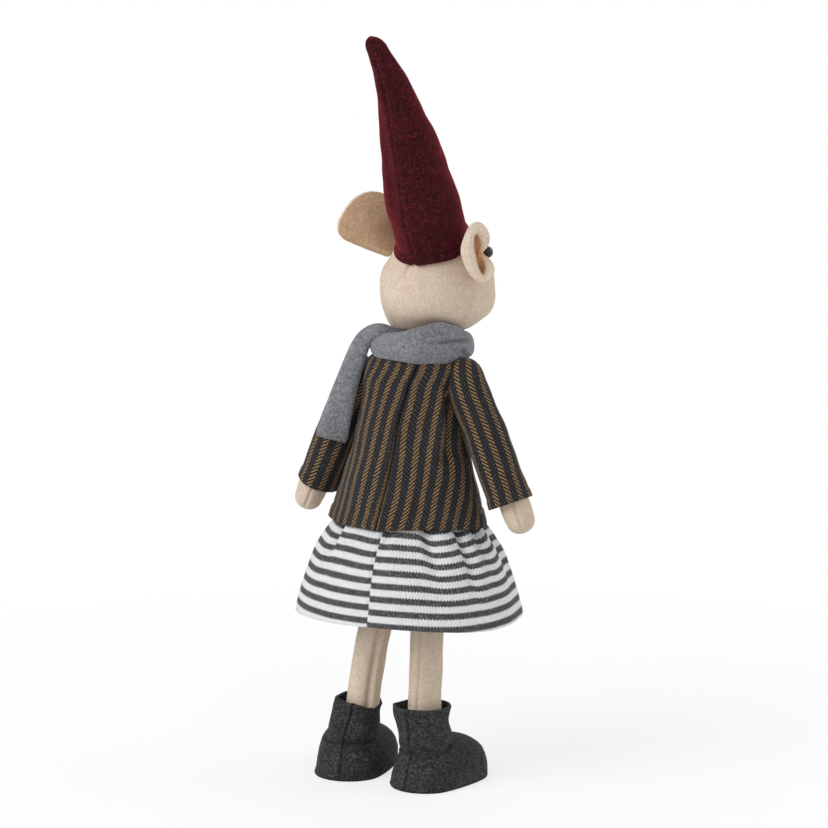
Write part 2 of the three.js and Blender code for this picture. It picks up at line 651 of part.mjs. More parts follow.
// A flat strip of scarf along a route, facing one way and widening towards its end
function scarfEnd(route, facing) {
  const line = new THREE.CatmullRomCurve3(route.map((p) => new THREE.Vector3(...p)));
  const strip = closed(new THREE.BoxGeometry(1, 1, 1, 2, 1, END_STEPS).translate(0, 0, 0.5));
  return reshape(strip, (p) => {
    const share = p.z;
    const width = THREE.MathUtils.lerp(END_TOP_WIDTH, END_FOOT_WIDTH, share);
    const onto = line.getPointAt(share);
    const ahead = line.getTangentAt(share);
    const across = new THREE.Vector3().crossVectors(facing, ahead).normalize();
    const out = new THREE.Vector3().crossVectors(ahead, across);
    const round = END_THICK * (1 - (p.x * 2) ** 2 * END_THINNING);
    p.copy(onto.addScaledVector(across, p.x * width).addScaledVector(out, p.y * round));
  });
}

function addScarf() {
  const ring = Array.from({ length: SMALL_ROUND + 1 }, (_, i) => {
    const angle = (i / SMALL_ROUND) * Math.PI * 2;
    return [SCARF_R + SCARF_HALF_THICK * Math.cos(angle), SCARF_HALF_HEIGHT * Math.sin(angle)];
  });
  const turns = [-1, -0.5, 0, 0.5, 1].map((share) => headForm(-GAP, share * HEAD_TURN));
  const wrap = turned(ring).translate(...SCARF_WRAP.toArray());
  add('scarf_wrap', cut(wrap, turns), finishes.fleece);
  add('scarf_back_end', scarfEnd(SCARF_BACK_ROUTE, SCARF_BACK_FACING), finishes.fleece);
  add('scarf_front_end', scarfEnd(SCARF_FRONT_ROUTE, SCARF_FRONT_FACING), finishes.fleece);
}

addTorso();
for (const [name, side] of SIDES) {
  addLeg(name, side);
  addBoot(name, side);
}
addSkirt();
addJacket();
for (const [name, side] of SIDES) addArm(name, side);
addHead();
for (const [name, side] of SIDES) addEar(name, side);
addHat();
addScarf();

// The origin lies under the middle of the figure's box, on the floor
figure.updateMatrixWorld(true);
const box = new THREE.Box3().setFromObject(figure, true);
const part = new THREE.Group();
part.add(figure);
figure.position.set(-(box.min.x + box.max.x) / 2, -(box.min.y + box.max.y) / 2, -box.min.z);

export default part;
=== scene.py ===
"""A standing felt mouse in a hat, scarf, tweed jacket, striped skirt and boots, dressed on its frame."""

import logging
import math
from collections.abc import Callable, Sequence
from dataclasses import asdict, dataclass, replace
from enum import Enum

import bmesh
import bpy
from mathutils import Matrix, Vector, noise


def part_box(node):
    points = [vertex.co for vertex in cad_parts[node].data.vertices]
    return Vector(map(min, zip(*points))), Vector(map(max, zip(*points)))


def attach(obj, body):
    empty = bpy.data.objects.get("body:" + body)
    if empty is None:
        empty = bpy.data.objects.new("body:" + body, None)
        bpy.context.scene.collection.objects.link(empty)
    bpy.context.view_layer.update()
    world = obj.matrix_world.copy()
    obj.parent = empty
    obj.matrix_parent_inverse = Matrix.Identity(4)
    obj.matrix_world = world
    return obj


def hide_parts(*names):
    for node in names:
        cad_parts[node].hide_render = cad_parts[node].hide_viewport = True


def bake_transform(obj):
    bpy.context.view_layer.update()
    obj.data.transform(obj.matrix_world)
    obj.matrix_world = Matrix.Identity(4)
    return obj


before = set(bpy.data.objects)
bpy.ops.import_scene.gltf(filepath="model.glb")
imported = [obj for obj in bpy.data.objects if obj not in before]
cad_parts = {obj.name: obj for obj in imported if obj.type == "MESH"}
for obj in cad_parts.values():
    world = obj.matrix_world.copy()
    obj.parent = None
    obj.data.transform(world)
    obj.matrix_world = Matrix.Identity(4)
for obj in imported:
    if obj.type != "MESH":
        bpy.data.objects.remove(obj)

LOG = logging.getLogger("mouse")
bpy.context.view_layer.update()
MM = 0.001
CUT_MAP = "cut"
MERGE_MM = 0.01
DEGREE = math.radians(1)
WHITE = "#ffffff"

Form = Callable[[float, float], Vector]
Stations = Sequence[tuple[float, float]]
Stops = tuple[tuple[float, str], ...]
UP = Vector((0, 0, 1))
BACK = Vector((0, 1, 0))


class Side(Enum):
    """The figure's own left, at +X, and right, at -X."""

    LEFT = 1
    RIGHT = -1

    @property
    def word(self) -> str:
        """The side's name in node names."""
        return self.name.lower()


# Small sums


def middle(node: str, axis: int) -> float:
    """The middle of a frame node's box along one axis, in metres."""
    low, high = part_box(node)
    return (low[axis] + high[axis]) / 2


# The body's own axis on the floor. Every form below is written in millimetres from here.
BODY = Vector((middle("torso_skin", 0), middle("skirt", 1), 0))


def ease(low: float, high: float, value: float) -> float:
    """Rises softly from 0 at low to 1 at high."""
    share = min(max((value - low) / (high - low), 0), 1)
    return share * share * (3 - 2 * share)


def mix(start: float, end: float, share: float) -> float:
    """The value part of the way from start to end."""
    return start + (end - start) * share


def bump(distance: float, width: float, height: float) -> float:
    """A soft ridge, or a groove where height is negative, across a line."""
    return height * math.exp(-((distance / width) ** 2))


def power(value: float, exponent: float) -> float:
    """A power that keeps its sign, for round-cornered sections."""
    return math.copysign(abs(value) ** exponent, value)


def through(stations: Stations, at: float) -> float:
    """A smooth value through a few stations.

    Args:
        stations: pairs of place and value, in rising order of place.
        at: the place asked for.

    Returns:
        The value there, held level past both ends.
    """
    at = min(max(at, stations[0][0]), stations[-1][0])
    last = len(stations) - 1
    index = next(i for i in range(last) if at <= stations[i + 1][0])

    def slope(i: int) -> float:
        """How steeply the curve passes a station."""
        (x0, y0), (x1, y1) = stations[max(i - 1, 0)], stations[min(i + 1, last)]
        return (y1 - y0) / (x1 - x0)

    (x0, y0), (x1, y1) = stations[index], stations[index + 1]
    run = x1 - x0
    t = (at - x0) / run
    rise = y0 * (1 + 2 * t) * (1 - t) ** 2 + y1 * t * t * (3 - 2 * t)
    return rise + run * (slope(index) * t * (1 - t) ** 2 - slope(index + 1) * t * t * (1 - t))


def along_route(points: Sequence[Vector], share: float) -> Vector:
    """A point on a smooth route through given points.

    Args:
        points: the route's points.
        share: how far along, from 0 to 1.

    Returns:
        The point on the curve.
    """
    at = share * (len(points) - 1)
    axes = [[(i, p[axis]) for i, p in enumerate(points)] for axis in range(3)]
    return Vector([through(stations, at) for stations in axes])


def around(degrees: float) -> Vector:
    """The level direction at an angle from the figure's back towards its right."""
    angle = math.radians(degrees)
    return Vector((-math.sin(angle), math.cos(angle), 0))


def turned(across: float) -> float:
    """The angle at a share across a piece that goes all the way round, with the back at a half."""
    return (across - 0.5) * 360


def wrapped(turn: float) -> float:
    """An angle brought to within half a turn of the back."""
    return (turn + 180) % 360 - 180


def facing(turn: float, way: float) -> float:
    """How squarely one angle faces another, from 0 at a quarter turn off to 1."""
    return max(around(turn).dot(around(way)), 0)


def arc(degrees: float, radius: float) -> float:
    """The length of an arc."""
    return degrees * radius * DEGREE


def on_tube(turn: float, radius: float, height: float) -> Vector:
    """A point on a plain tube, where a piece takes its unevenness from."""
    return around(turn) * radius + UP * height


@dataclass(frozen=True)
class Fade:
    """A soft change from 0 at one value to 1 at another, which may be the lower of the two."""

    none: float
    full: float

    def at(self, value: float) -> float:
        """How far the change has gone at a value."""
        return ease(self.none, self.full, value)


@dataclass(frozen=True)
class Crease:
    """A soft groove along a line, or a ridge where its height is above 0."""

    width: float
    height: float

    def at(self, distance: float) -> float:
        """Its height at a distance from the line."""
        return bump(distance, self.width, self.height)


@dataclass(frozen=True)
class Wave:
    """Waves round a piece: how many to a turn, how high, and the phase in degrees."""

    count: int
    height: float
    phase: float = 0.0

    def at(self, turn: float) -> float:
        """Its height at an angle."""
        return math.sin(math.radians(turn * self.count + self.phase)) * self.height


@dataclass(frozen=True)
class Lumps:
    """Soft hand-made unevenness, by the size of its lumps and their height."""

    size: float
    height: float

    def at(self, point: Vector) -> float:
        """Its height at a point."""
        return noise.noise(point / self.size) * self.height


# Meshes


def lay(
    form: Form,
    columns: int,
    rows: int,
    anchor: float = 0.0,
    drift: Callable[[float, float], float] | None = None,
) -> bmesh.types.BMesh:
    """Lays a grid of cloth on a form and keeps its flat-cut measures as a UV map in metres.

    Args:
        form: gives the place of a share across and a share up, in millimetres.
        columns: faces across.
        rows: faces up.
        anchor: the share across at which the pattern's width starts.
        drift: extra height of the pattern at a share across and up, in millimetres.

    Returns:
        The laid cloth, still in millimetres.
    """
    mesh = bmesh.new()
    bmesh.ops.create_grid(mesh, x_segments=columns, y_segments=rows, size=0.5)
    where = {}
    grid = [[Vector() for _ in range(columns + 1)] for _ in range(rows + 1)]
    for vert in mesh.verts:
        column = round((vert.co.x + 0.5) * columns)
        row = round((vert.co.y + 0.5) * rows)
        vert.co = form(column / columns, row / rows)
        where[vert] = (column, row)
        grid[row][column] = vert.co
    width = [[0.0] * (columns + 1) for _ in range(rows + 1)]
    height = [[0.0] * (columns + 1) for _ in range(rows + 1)]
    for row in range(rows + 1):
        for column in range(columns + 1):
            if column:
                step = (grid[row][column] - grid[row][column - 1]).length
                width[row][column] = width[row][column - 1] + step
            if row:
                step = (grid[row][column] - grid[row - 1][column]).length
                height[row][column] = height[row - 1][column] + step
    start = round(anchor * columns)
    cut = mesh.loops.layers.uv.new(CUT_MAP)
    for face in mesh.faces:
        for loop in face.loops:
            column, row = where[loop.vert]
            across = width[row][column] - width[row][start]
            up = height[row][column]
            if drift:
                up += drift(column / columns, row / rows)
            loop[cut].uv = (across * MM, up * MM)
    return mesh


def spun(profile: Sequence[tuple[float, float]], steps: int = 32) -> bmesh.types.BMesh:
    """A turned shape about Z from pairs of radius and height, in millimetres."""
    mesh = bmesh.new()
    verts = [mesh.verts.new((radius, 0, height)) for radius, height in profile]
    edges = [mesh.edges.new(pair) for pair in zip(verts, verts[1:])]
    bmesh.ops.spin(
        mesh, geom=verts + edges, cent=(0, 0, 0), axis=(0, 0, 1), angle=math.tau, steps=steps, use_merge=True,
    )
    close_up(mesh)
    return mesh


def close_up(mesh: bmesh.types.BMesh) -> None:
    """Merges doubles and turns the faces of a closed shape outwards."""
    bmesh.ops.remove_doubles(mesh, verts=mesh.verts, dist=MERGE_MM)
    bmesh.ops.recalc_face_normals(mesh, faces=mesh.faces)


def fill_ends(mesh: bmesh.types.BMesh) -> None:
    """Closes the open ends of a laid tube."""
    bmesh.ops.remove_doubles(mesh, verts=mesh.verts, dist=MERGE_MM)
    bmesh.ops.holes_fill(mesh, edges=[edge for edge in mesh.edges if edge.is_boundary])


def moved_to(mesh: bmesh.types.BMesh, place: Vector, out: Vector) -> None:
    """Stands a shape made about Z on a place, with its top pointing out."""
    turn = out.to_track_quat("Z", "Y").to_matrix().to_4x4()
    bmesh.ops.transform(mesh, matrix=Matrix.Translation(place) @ turn, verts=mesh.verts)


def put(name: str, data: bpy.types.ID) -> bpy.types.Object:
    """Puts a mesh, lamp or camera in the scene."""
    made = bpy.data.objects.new(name, data)
    bpy.context.scene.collection.objects.link(made)
    return made


# Nodes and finishes


def linear(code: str) -> tuple[float, float, float, float]:
    """An sRGB hex colour as linear red, green, blue and alpha."""
    parts = [int(code[i:i + 2], 16) / 255 for i in (1, 3, 5)]
    return (*[p / 12.92 if p <= 0.04045 else ((p + 0.055) / 1.055) ** 2.4 for p in parts], 1.0)


def bare_tree(owner: bpy.types.Material | bpy.types.World) -> bpy.types.NodeTree:
    """The emptied node tree of a material or a world."""
    owner.use_nodes = True
    owner.node_tree.nodes.clear()
    return owner.node_tree


def add_node(
    tree: bpy.types.NodeTree,
    kind: str,
    inputs: dict | Sequence = (),
    output: int | str = 0,
    stops: Stops = (),
    **settings: object,
) -> bpy.types.NodeSocket | None:
    """Adds a shader node with its settings and links.

    Args:
        tree: the material's node tree.
        kind: the node's type name without its ShaderNode prefix.
        inputs: a value, or another node's output to link, for each input by order or by name.
        output: the output to give back.
        stops: places and hex colours, on a node that turns values into colours.
        settings: the node's own properties.

    Returns:
        The output asked for, or none where the node has none.
    """
    node = tree.nodes.new("ShaderNode" + kind)
    for name, value in settings.items():
        setattr(node, name, value)
    for key, value in inputs.items() if isinstance(inputs, dict) else enumerate(inputs):
        if isinstance(value, bpy.types.NodeSocket):
            tree.links.new(value, node.inputs[key])
        else:
            node.inputs[key].default_value = value
    for index, (place, code) in enumerate(stops):
        elements = node.color_ramp.elements
        element = elements[index] if index < len(elements) else elements.new(1.0)
        element.position = place
        element.color = linear(code)
    return node.outputs[output] if node.outputs else None


def per_metre(size_mm: float) -> float:
    """How many times a pattern of that size repeats in a metre."""
    return 1 / (size_mm * MM)


def striped(
    tree: bpy.types.NodeTree,
    length: bpy.types.NodeSocket,
    pitch_mm: float,
    start: float,
    share: float,
    soft: float,
) -> bpy.types.NodeSocket:
    """Even stripes over a length.

    Args:
        tree: the material's node tree.
        length: the length in metres.
        pitch_mm: the distance from a stripe to the next.
        start: how far the first stripe is brought on, as a share of the pitch.
        share: the stripe's share of the pitch.
        soft: half of its soft edge, as a share of the pitch.

    Returns:
        1 in the stripes and 0 between them.
    """
    half = share / 2
    count = add_node(tree, "Math", (length, per_metre(pitch_mm), start), operation="MULTIPLY_ADD")
    part = add_node(tree, "Math", (count,), operation="FRACT")
    off = add_node(tree, "Math", (part, half), operation="SUBTRACT")
    off = add_node(tree, "Math", (off,), operation="ABSOLUTE")
    return add_node(tree, "MapRange", {
        "Value": off, "From Min": half - soft, "From Max": half + soft, "To Min": 1.0, "To Max": 0.0,
    })


Pattern = tuple[bpy.types.NodeSocket, bpy.types.NodeSocket]


@dataclass(frozen=True)
class Finish:
    """What every finish shares: its name, the record's slot, a word for it and its shader's level values."""

    name: str
    slot: str
    stuff: str
    roughness: float = 0.9
    specular: float = 0.2
    sheen: float = 0.0
    sheen_tint: str = WHITE
    metallic: float = 0.0
    relief_mm: float = 0.3
    relief: float = 0.5

    def material(self) -> bpy.types.Material:
        """The finish as a material, made once."""
        made = bpy.data.materials.get(self.name)
        if made:
            return made
        made = bpy.data.materials.new(self.name)
        tree = bare_tree(made)
        colour, height = self.pattern(tree)
        raised = add_node(tree, "Bump", {
            "Height": height, "Strength": self.relief, "Distance": self.relief_mm * MM,
        })
        shader = add_node(tree, "BsdfPrincipled", {
            "Base Color": colour, "Normal": raised, "Roughness": self.roughness, "Metallic": self.metallic,
            "Specular IOR Level": self.specular, "Sheen Weight": self.sheen,
            "Sheen Tint": linear(self.sheen_tint),
        })
        add_node(tree, "OutputMaterial", {"Surface": shader})
        return made

    def pattern(self, tree: bpy.types.NodeTree) -> Pattern:
        """The colour and height over the surface."""
        raise NotImplementedError


@dataclass(frozen=True)
class Felt(Finish):
    """Pressed wool: matt, with fibres in several tones and a soft lighter nap at its edges."""

    dark: str = "#000000"
    base: str = "#000000"
    light: str = WHITE
    hair: str = WHITE
    fibre_mm: float = 1.5  # real fibres are finer, drawn as coarse as shows at this distance
    clump_mm: float = 4.5
    patch_mm: float = 24.0
    fibre_share: float = 0.65
    clump_share: float = 0.22
    patch_share: float = 0.13
    spread: float = 0.2
    hair_spread: float = 1.5
    clump_relief: float = 0.5

    def pattern(self, tree: bpy.types.NodeTree) -> Pattern:
        """Fibre, clump and patch tones with sparse pale hairs, raised by the fibres."""
        where = add_node(tree, "TexCoord", output="Object")
        fibre, clump, patch = (
            add_node(tree, "TexNoise", {"Vector": where, "Scale": per_metre(size), "Detail": 3.0})
            for size in (self.fibre_mm, self.clump_mm, self.patch_mm)
        )
        tone = add_node(tree, "Math", (clump, self.clump_share), operation="MULTIPLY")
        tone = add_node(tree, "Math", (patch, self.patch_share, tone), operation="MULTIPLY_ADD")
        tone = add_node(tree, "Math", (fibre, self.fibre_share, tone), operation="MULTIPLY_ADD")
        stops = (
            (0.5 - self.spread, self.dark), (0.5, self.base), (0.5 + self.spread, self.light),
            (0.5 + self.spread * self.hair_spread, self.hair),
        )
        colour = add_node(tree, "ValToRGB", (tone,), stops=stops)
        return colour, add_node(tree, "Math", (clump, self.clump_relief, fibre), operation="MULTIPLY_ADD")


@dataclass(frozen=True)
class BounceLitFelt(Felt):
    """Felt of a cupped piece, with painted warm bounce light deep in the cup, by its way out from the root.
    """

    # Painted warm bounce light: its colour, how much of it is mixed in deepest, and where it fades out
    bounce_glow: str = "#e6b487"
    glow_share: float = 0.9
    deep_mm: float = 2.5
    open_mm: float = 10.0

    def pattern(self, tree: bpy.types.NodeTree) -> Pattern:
        """The felt, with painted warm bounce light mixed in by the way down into the cup."""
        colour, height = super().pattern(tree)
        # Mixes in the painted warm bounce light by the way out from the root
        cut = add_node(tree, "UVMap", uv_map=CUT_MAP)
        from_root = add_node(tree, "SeparateXYZ", (cut,), "Y")
        depth = add_node(tree, "MapRange", {
            "Value": from_root, "From Min": self.deep_mm * MM, "From Max": self.open_mm * MM,
            "To Min": self.glow_share, "To Max": 0.0,
        })
        return add_node(tree, "MixRGB", (depth, colour, linear(self.bounce_glow))), height


@dataclass(frozen=True)
class Tweed(Finish):
    """Woven herringbone: brown and black stripes whose twill lines lean opposite ways."""

    stripe_mm: float = 8.9
    brown_share: float = 0.44
    edge_soft: float = 0.02
    stroke_mm: float = 2.85  # twill lines, drawn coarser than the yarn so that they show
    steepness: float = 1.05
    lean: int = 1
    start_mm: float = 0.0
    skew: float = 0.0
    wander_mm: float = 0.9
    wander_size_mm: float = 9.0
    fibre_mm: float = 1.3
    wear: float = 0.45
    browns: Stops = ((0.36, "#16120f"), (0.48, "#5d4938"), (0.68, "#957956"))
    blacks: Stops = ((0.34, "#171719"), (0.72, "#333438"), (0.82, "#77777c"))

    def pattern(self, tree: bpy.types.NodeTree) -> Pattern:
        """Stripes along the cut's length, with slanting strokes in them."""
        where = add_node(tree, "TexCoord", output="Object")
        cut = add_node(tree, "UVMap", uv_map=CUT_MAP)
        across = add_node(tree, "SeparateXYZ", (cut,), "X")
        up = across.node.outputs["Y"]
        soft, fibre = (
            add_node(tree, "TexNoise", {"Vector": where, "Scale": per_metre(size), "Detail": detail})
            for size, detail in ((self.wander_size_mm, 1.0), (self.fibre_mm, 3.0))
        )
        shifted = add_node(tree, "Math", (up, self.skew, across), operation="MULTIPLY_ADD")
        shifted = add_node(tree, "Math", (soft, self.wander_mm * MM, shifted), operation="MULTIPLY_ADD")
        start = self.brown_share / 2 + 1 - self.start_mm / self.stripe_mm
        inside = striped(tree, shifted, self.stripe_mm, start, self.brown_share, self.edge_soft)
        steep = self.lean * self.steepness
        way = add_node(tree, "Math", (inside, -2 * steep, steep), operation="MULTIPLY_ADD")
        slant = add_node(tree, "Math", (shifted, way, up), operation="MULTIPLY_ADD")
        stroke = add_node(tree, "Math", (slant, per_metre(self.stroke_mm)), operation="MULTIPLY")
        crest = add_node(tree, "Math", (stroke, 0.5), operation="PINGPONG")
        worn = add_node(tree, "Math", (fibre, self.wear, crest), operation="MULTIPLY_ADD")
        tan = add_node(tree, "ValToRGB", (worn,), stops=self.browns)
        ink = add_node(tree, "ValToRGB", (worn,), stops=self.blacks)
        return add_node(tree, "MixRGB", (inside, ink, tan)), worn


@dataclass(frozen=True)
class Jersey(Finish):
    """Single-knit cotton: stripes of whole courses, so that their edges step with the stitches."""

    stripe_mm: float = 8.8
    grey_share: float = 0.49
    edge_soft: float = 0.015
    start_mm: float = -0.2
    wale_mm: float = 2.1  # stitch columns, drawn coarser than they are so that they show
    step_mm: float = 2.2
    fibre_mm: float = 1.3
    fibre_relief: float = 0.6
    greys: Stops = ((0.3, "#353538"), (0.5, "#48484b"), (0.74, "#707074"))
    whites: Stops = ((0.25, "#c9c9cd"), (0.6, "#e2e2e3"))

    def pattern(self, tree: bpy.types.NodeTree) -> Pattern:
        """Stripes across the cut, stepped by the stitch columns."""
        where = add_node(tree, "TexCoord", output="Object")
        cut = add_node(tree, "UVMap", uv_map=CUT_MAP)
        across = add_node(tree, "SeparateXYZ", (cut,), "X")
        up = across.node.outputs["Y"]
        scale = per_metre(self.fibre_mm)
        fibre = add_node(tree, "TexNoise", {"Vector": where, "Scale": scale, "Detail": 3.0})
        wale = add_node(tree, "Math", (across, per_metre(self.wale_mm)), operation="MULTIPLY")
        wale = add_node(tree, "Math", (wale, 0.5), operation="PINGPONG")
        stepped = add_node(tree, "Math", (wale, self.step_mm * MM, up), operation="MULTIPLY_ADD")
        start = 1 - self.start_mm / self.stripe_mm
        dyed = striped(tree, stepped, self.stripe_mm, start, self.grey_share, self.edge_soft)
        grey = add_node(tree, "ValToRGB", (fibre,), stops=self.greys)
        white = add_node(tree, "ValToRGB", (fibre,), stops=self.whites)
        height = add_node(tree, "Math", (fibre, self.fibre_relief, wale), operation="MULTIPLY_ADD")
        return add_node(tree, "MixRGB", (dyed, white, grey)), height


@dataclass(frozen=True)
class Plain(Finish):
    """A moulded, drawn or spun material whose tone varies a little."""

    base: str = "#808080"
    light: str = "#909090"
    base_at: float = 0.35
    light_at: float = 0.68
    grain_mm: float = 2.0

    def pattern(self, tree: bpy.types.NodeTree) -> Pattern:
        """Two close tones in a soft grain."""
        where = add_node(tree, "TexCoord", output="Object")
        scale = per_metre(self.grain_mm)
        grain = add_node(tree, "TexNoise", {"Vector": where, "Scale": scale, "Detail": 3.0})
        stops = ((self.base_at, self.base), (self.light_at, self.light))
        return add_node(tree, "ValToRGB", (grain,), stops=stops), grain


# Wool felt of the skin, undyed and fine
SKIN = Felt(
    "beige_wool_felt", "beige_felt", "felt", sheen=0.1, sheen_tint="#f3ebe0", relief_mm=0.25, relief=0.4,
    dark="#bba793", base="#cfbca8", light="#e0d2c2", hair="#ebe1d5", fibre_mm=1.2, spread=0.22,
)
# The same felt painted darker and warmer as painted shade, on the back of the open ear
SHADED_EAR_FELT = replace(
    SKIN, name="shaded_beige_wool_felt", sheen=0.08,
    dark="#987a5f", base="#b09074", light="#c6a98d", hair="#d8c0a8",
)
# The same felt painted paler as painted light, for the ears' faces and rims that the light falls on
LIT_EAR_FELT = replace(
    SKIN, name="lit_beige_wool_felt", spread=0.2,
    dark="#cbb59e", base="#e0cdb8", light="#eee0d0", hair="#f5ece1",
)
# The paler painted-light felt in the cup of the folded ear, with painted warm bounce light deep in the cup
CUP_FELT = BounceLitFelt(**(asdict(LIT_EAR_FELT) | {"name": "bounce_lit_beige_wool_felt"}))
# Thicker dyed felt, with darker fibres showing in the red
HAT_FELT = Felt(
    "burgundy_wool_felt", "burgundy_felt", "felt", sheen=0.5, sheen_tint="#cc3a46", relief_mm=0.5, relief=0.6,
    specular=0.08, dark="#190a0c", base="#301216", light="#5a1d24", hair="#97404a", fibre_mm=1.3,
    clump_mm=3.6, spread=0.15,
)
# Charcoal felt of mixed grey fibres
BOOT_FELT = Felt(
    "charcoal_wool_felt", "charcoal_felt", "felt", sheen=0.08, sheen_tint="#77777a", relief_mm=0.4,
    dark="#1b1b1c", base="#2f2f30", light="#525254", hair="#8c8c8f", fibre_mm=1.3, clump_mm=3.6, spread=0.15,
)
# Brushed fleece, mottled, with a loose nap
FLEECE = Felt(
    "grey_melange_fleece", "grey_fleece", "fleece", sheen=0.2, sheen_tint="#b4b5ba", relief_mm=0.5,
    dark="#5f6065", base="#7a7b80", light="#95969b", hair="#b0b1b6", fibre_mm=1.4, clump_mm=3.4, spread=0.15,
)
# Wool tweed, one finish for each piece, because each is cut from another place of the cloth
FRONT_TWEED = Tweed("herringbone_front", "herringbone_tweed", "tweed", sheen=0.05, start_mm=4.4)
BACK_RIGHT_TWEED = replace(
    FRONT_TWEED, name="herringbone_back_right", start_mm=4.2, skew=0.053, wander_mm=2.6, wander_size_mm=20.0,
)
BACK_LEFT_TWEED = replace(FRONT_TWEED, name="herringbone_back_left", start_mm=-3.1, skew=-0.05)
SLEEVE_TWEED = {
    Side.LEFT: replace(FRONT_TWEED, name="herringbone_left_sleeve", start_mm=2.0),
    Side.RIGHT: replace(FRONT_TWEED, name="herringbone_right_sleeve", start_mm=0.5, lean=-1),
}
# Fine cotton knit, soft and matt
SKIRT_JERSEY = Jersey("striped_cotton_jersey", "striped_jersey", "jersey", sheen=0.05, relief=0.35)
# Moulded black beads, polished
BEAD = Plain(
    "black_acrylic_bead", "black_bead", "acrylic", roughness=0.22, specular=0.4, relief=0.03,
    base="#0b0a0a", light="#161514",
)
# Cast resin in a horn tone
HORN = Plain(
    "horn_resin_button", "horn_button", "resin", roughness=0.3, specular=0.5, relief=0.05,
    base="#2a1c12", light="#543923", grain_mm=3.5,
)
# Rubber threads woven over with cotton
ELASTIC = Plain("woven_elastic", "elastic", "webbing", base="#d8d6d1", light="#eceae6", grain_mm=0.8)
# Loose spun fibre
FILLING = Plain(
    "polyester_fibre", "fibre_filling", "fibre", base="#e2e1de", light="#f4f3f1", grain_mm=1.6, relief=0.8,
)
# Drawn rod and cast weights with a dull zinc skin
STEEL = Plain(
    "galvanised_steel", "steel", "metal", roughness=0.4, specular=0.5, metallic=1.0, relief=0.1,
    base="#8d9093", light="#b3b6b8",
)
# Moulded washers that lock the beads' shanks
NYLON = Plain(
    "nylon_washer", "bead_washer", "nylon", roughness=0.45, specular=0.5, relief=0.1,
    base="#dcdad4", light="#ecebe7",
)


def dress(
    node: str, mesh: bmesh.types.BMesh, finish: Finish, body: str | None, thickness: float = 0.0
) -> bpy.types.Object:
    """Makes a finished piece of a mesh and sets it on its body.

    Args:
        node: the frame's node that it stands for.
        mesh: the mesh in millimetres about the body's axis, which is used up.
        finish: its finish.
        body: the body that it rides on, or none, where it is left unattached.
        thickness: the cloth's thickness in millimetres, laid inwards.

    Returns:
        The finished piece, in metres.
    """
    bmesh.ops.remove_doubles(mesh, verts=mesh.verts, dist=MERGE_MM)
    place = Matrix.Translation(BODY) @ Matrix.Scale(MM, 4)
    bmesh.ops.transform(mesh, matrix=place, verts=mesh.verts)
    for face in mesh.faces:
        face.smooth = True
    name = f"{node}_{finish.stuff}"
    data = bpy.data.meshes.new(name)
    mesh.to_mesh(data)
    mesh.free()
    made = put(name, data)
    data.materials.append(finish.material())
    if thickness:
        wall = made.modifiers.new("wall", "SOLIDIFY")
        wall.thickness = thickness * MM
        wall.offset = -1
    if body:
        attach(made, body)
    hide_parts(node)
    LOG.info("%s: %d faces", name, len(data.polygons))
    return made


class Doubled(Enum):
    """Whether a piece's cut map runs once over the cloth, or round both of its faces."""

    SINGLE = (1.0, 1.0)
    ACROSS = (0.5, 1.0)
    ALONG = (1.0, 0.5)


def declare_cloth(
    made: bpy.types.Object, doubled: Doubled = Doubled.SINGLE
) -> None:
    """Notes the flat size that a piece's own cut map holds.

    Args:
        made: the piece, laid by lay.
        doubled: whether its map runs round both faces.
    """
    corners = [corner.uv for corner in made.data.uv_layers[CUT_MAP].data]
    spans = [max(c[axis] for c in corners) - min(c[axis] for c in corners) for axis in range(2)]
    width, length = (span * share for span, share in zip(spans, doubled.value))
    LOG.info("%s: cut %.0f by %.0f mm", made.name, width / MM, length / MM)


# The head and what is sewn to it


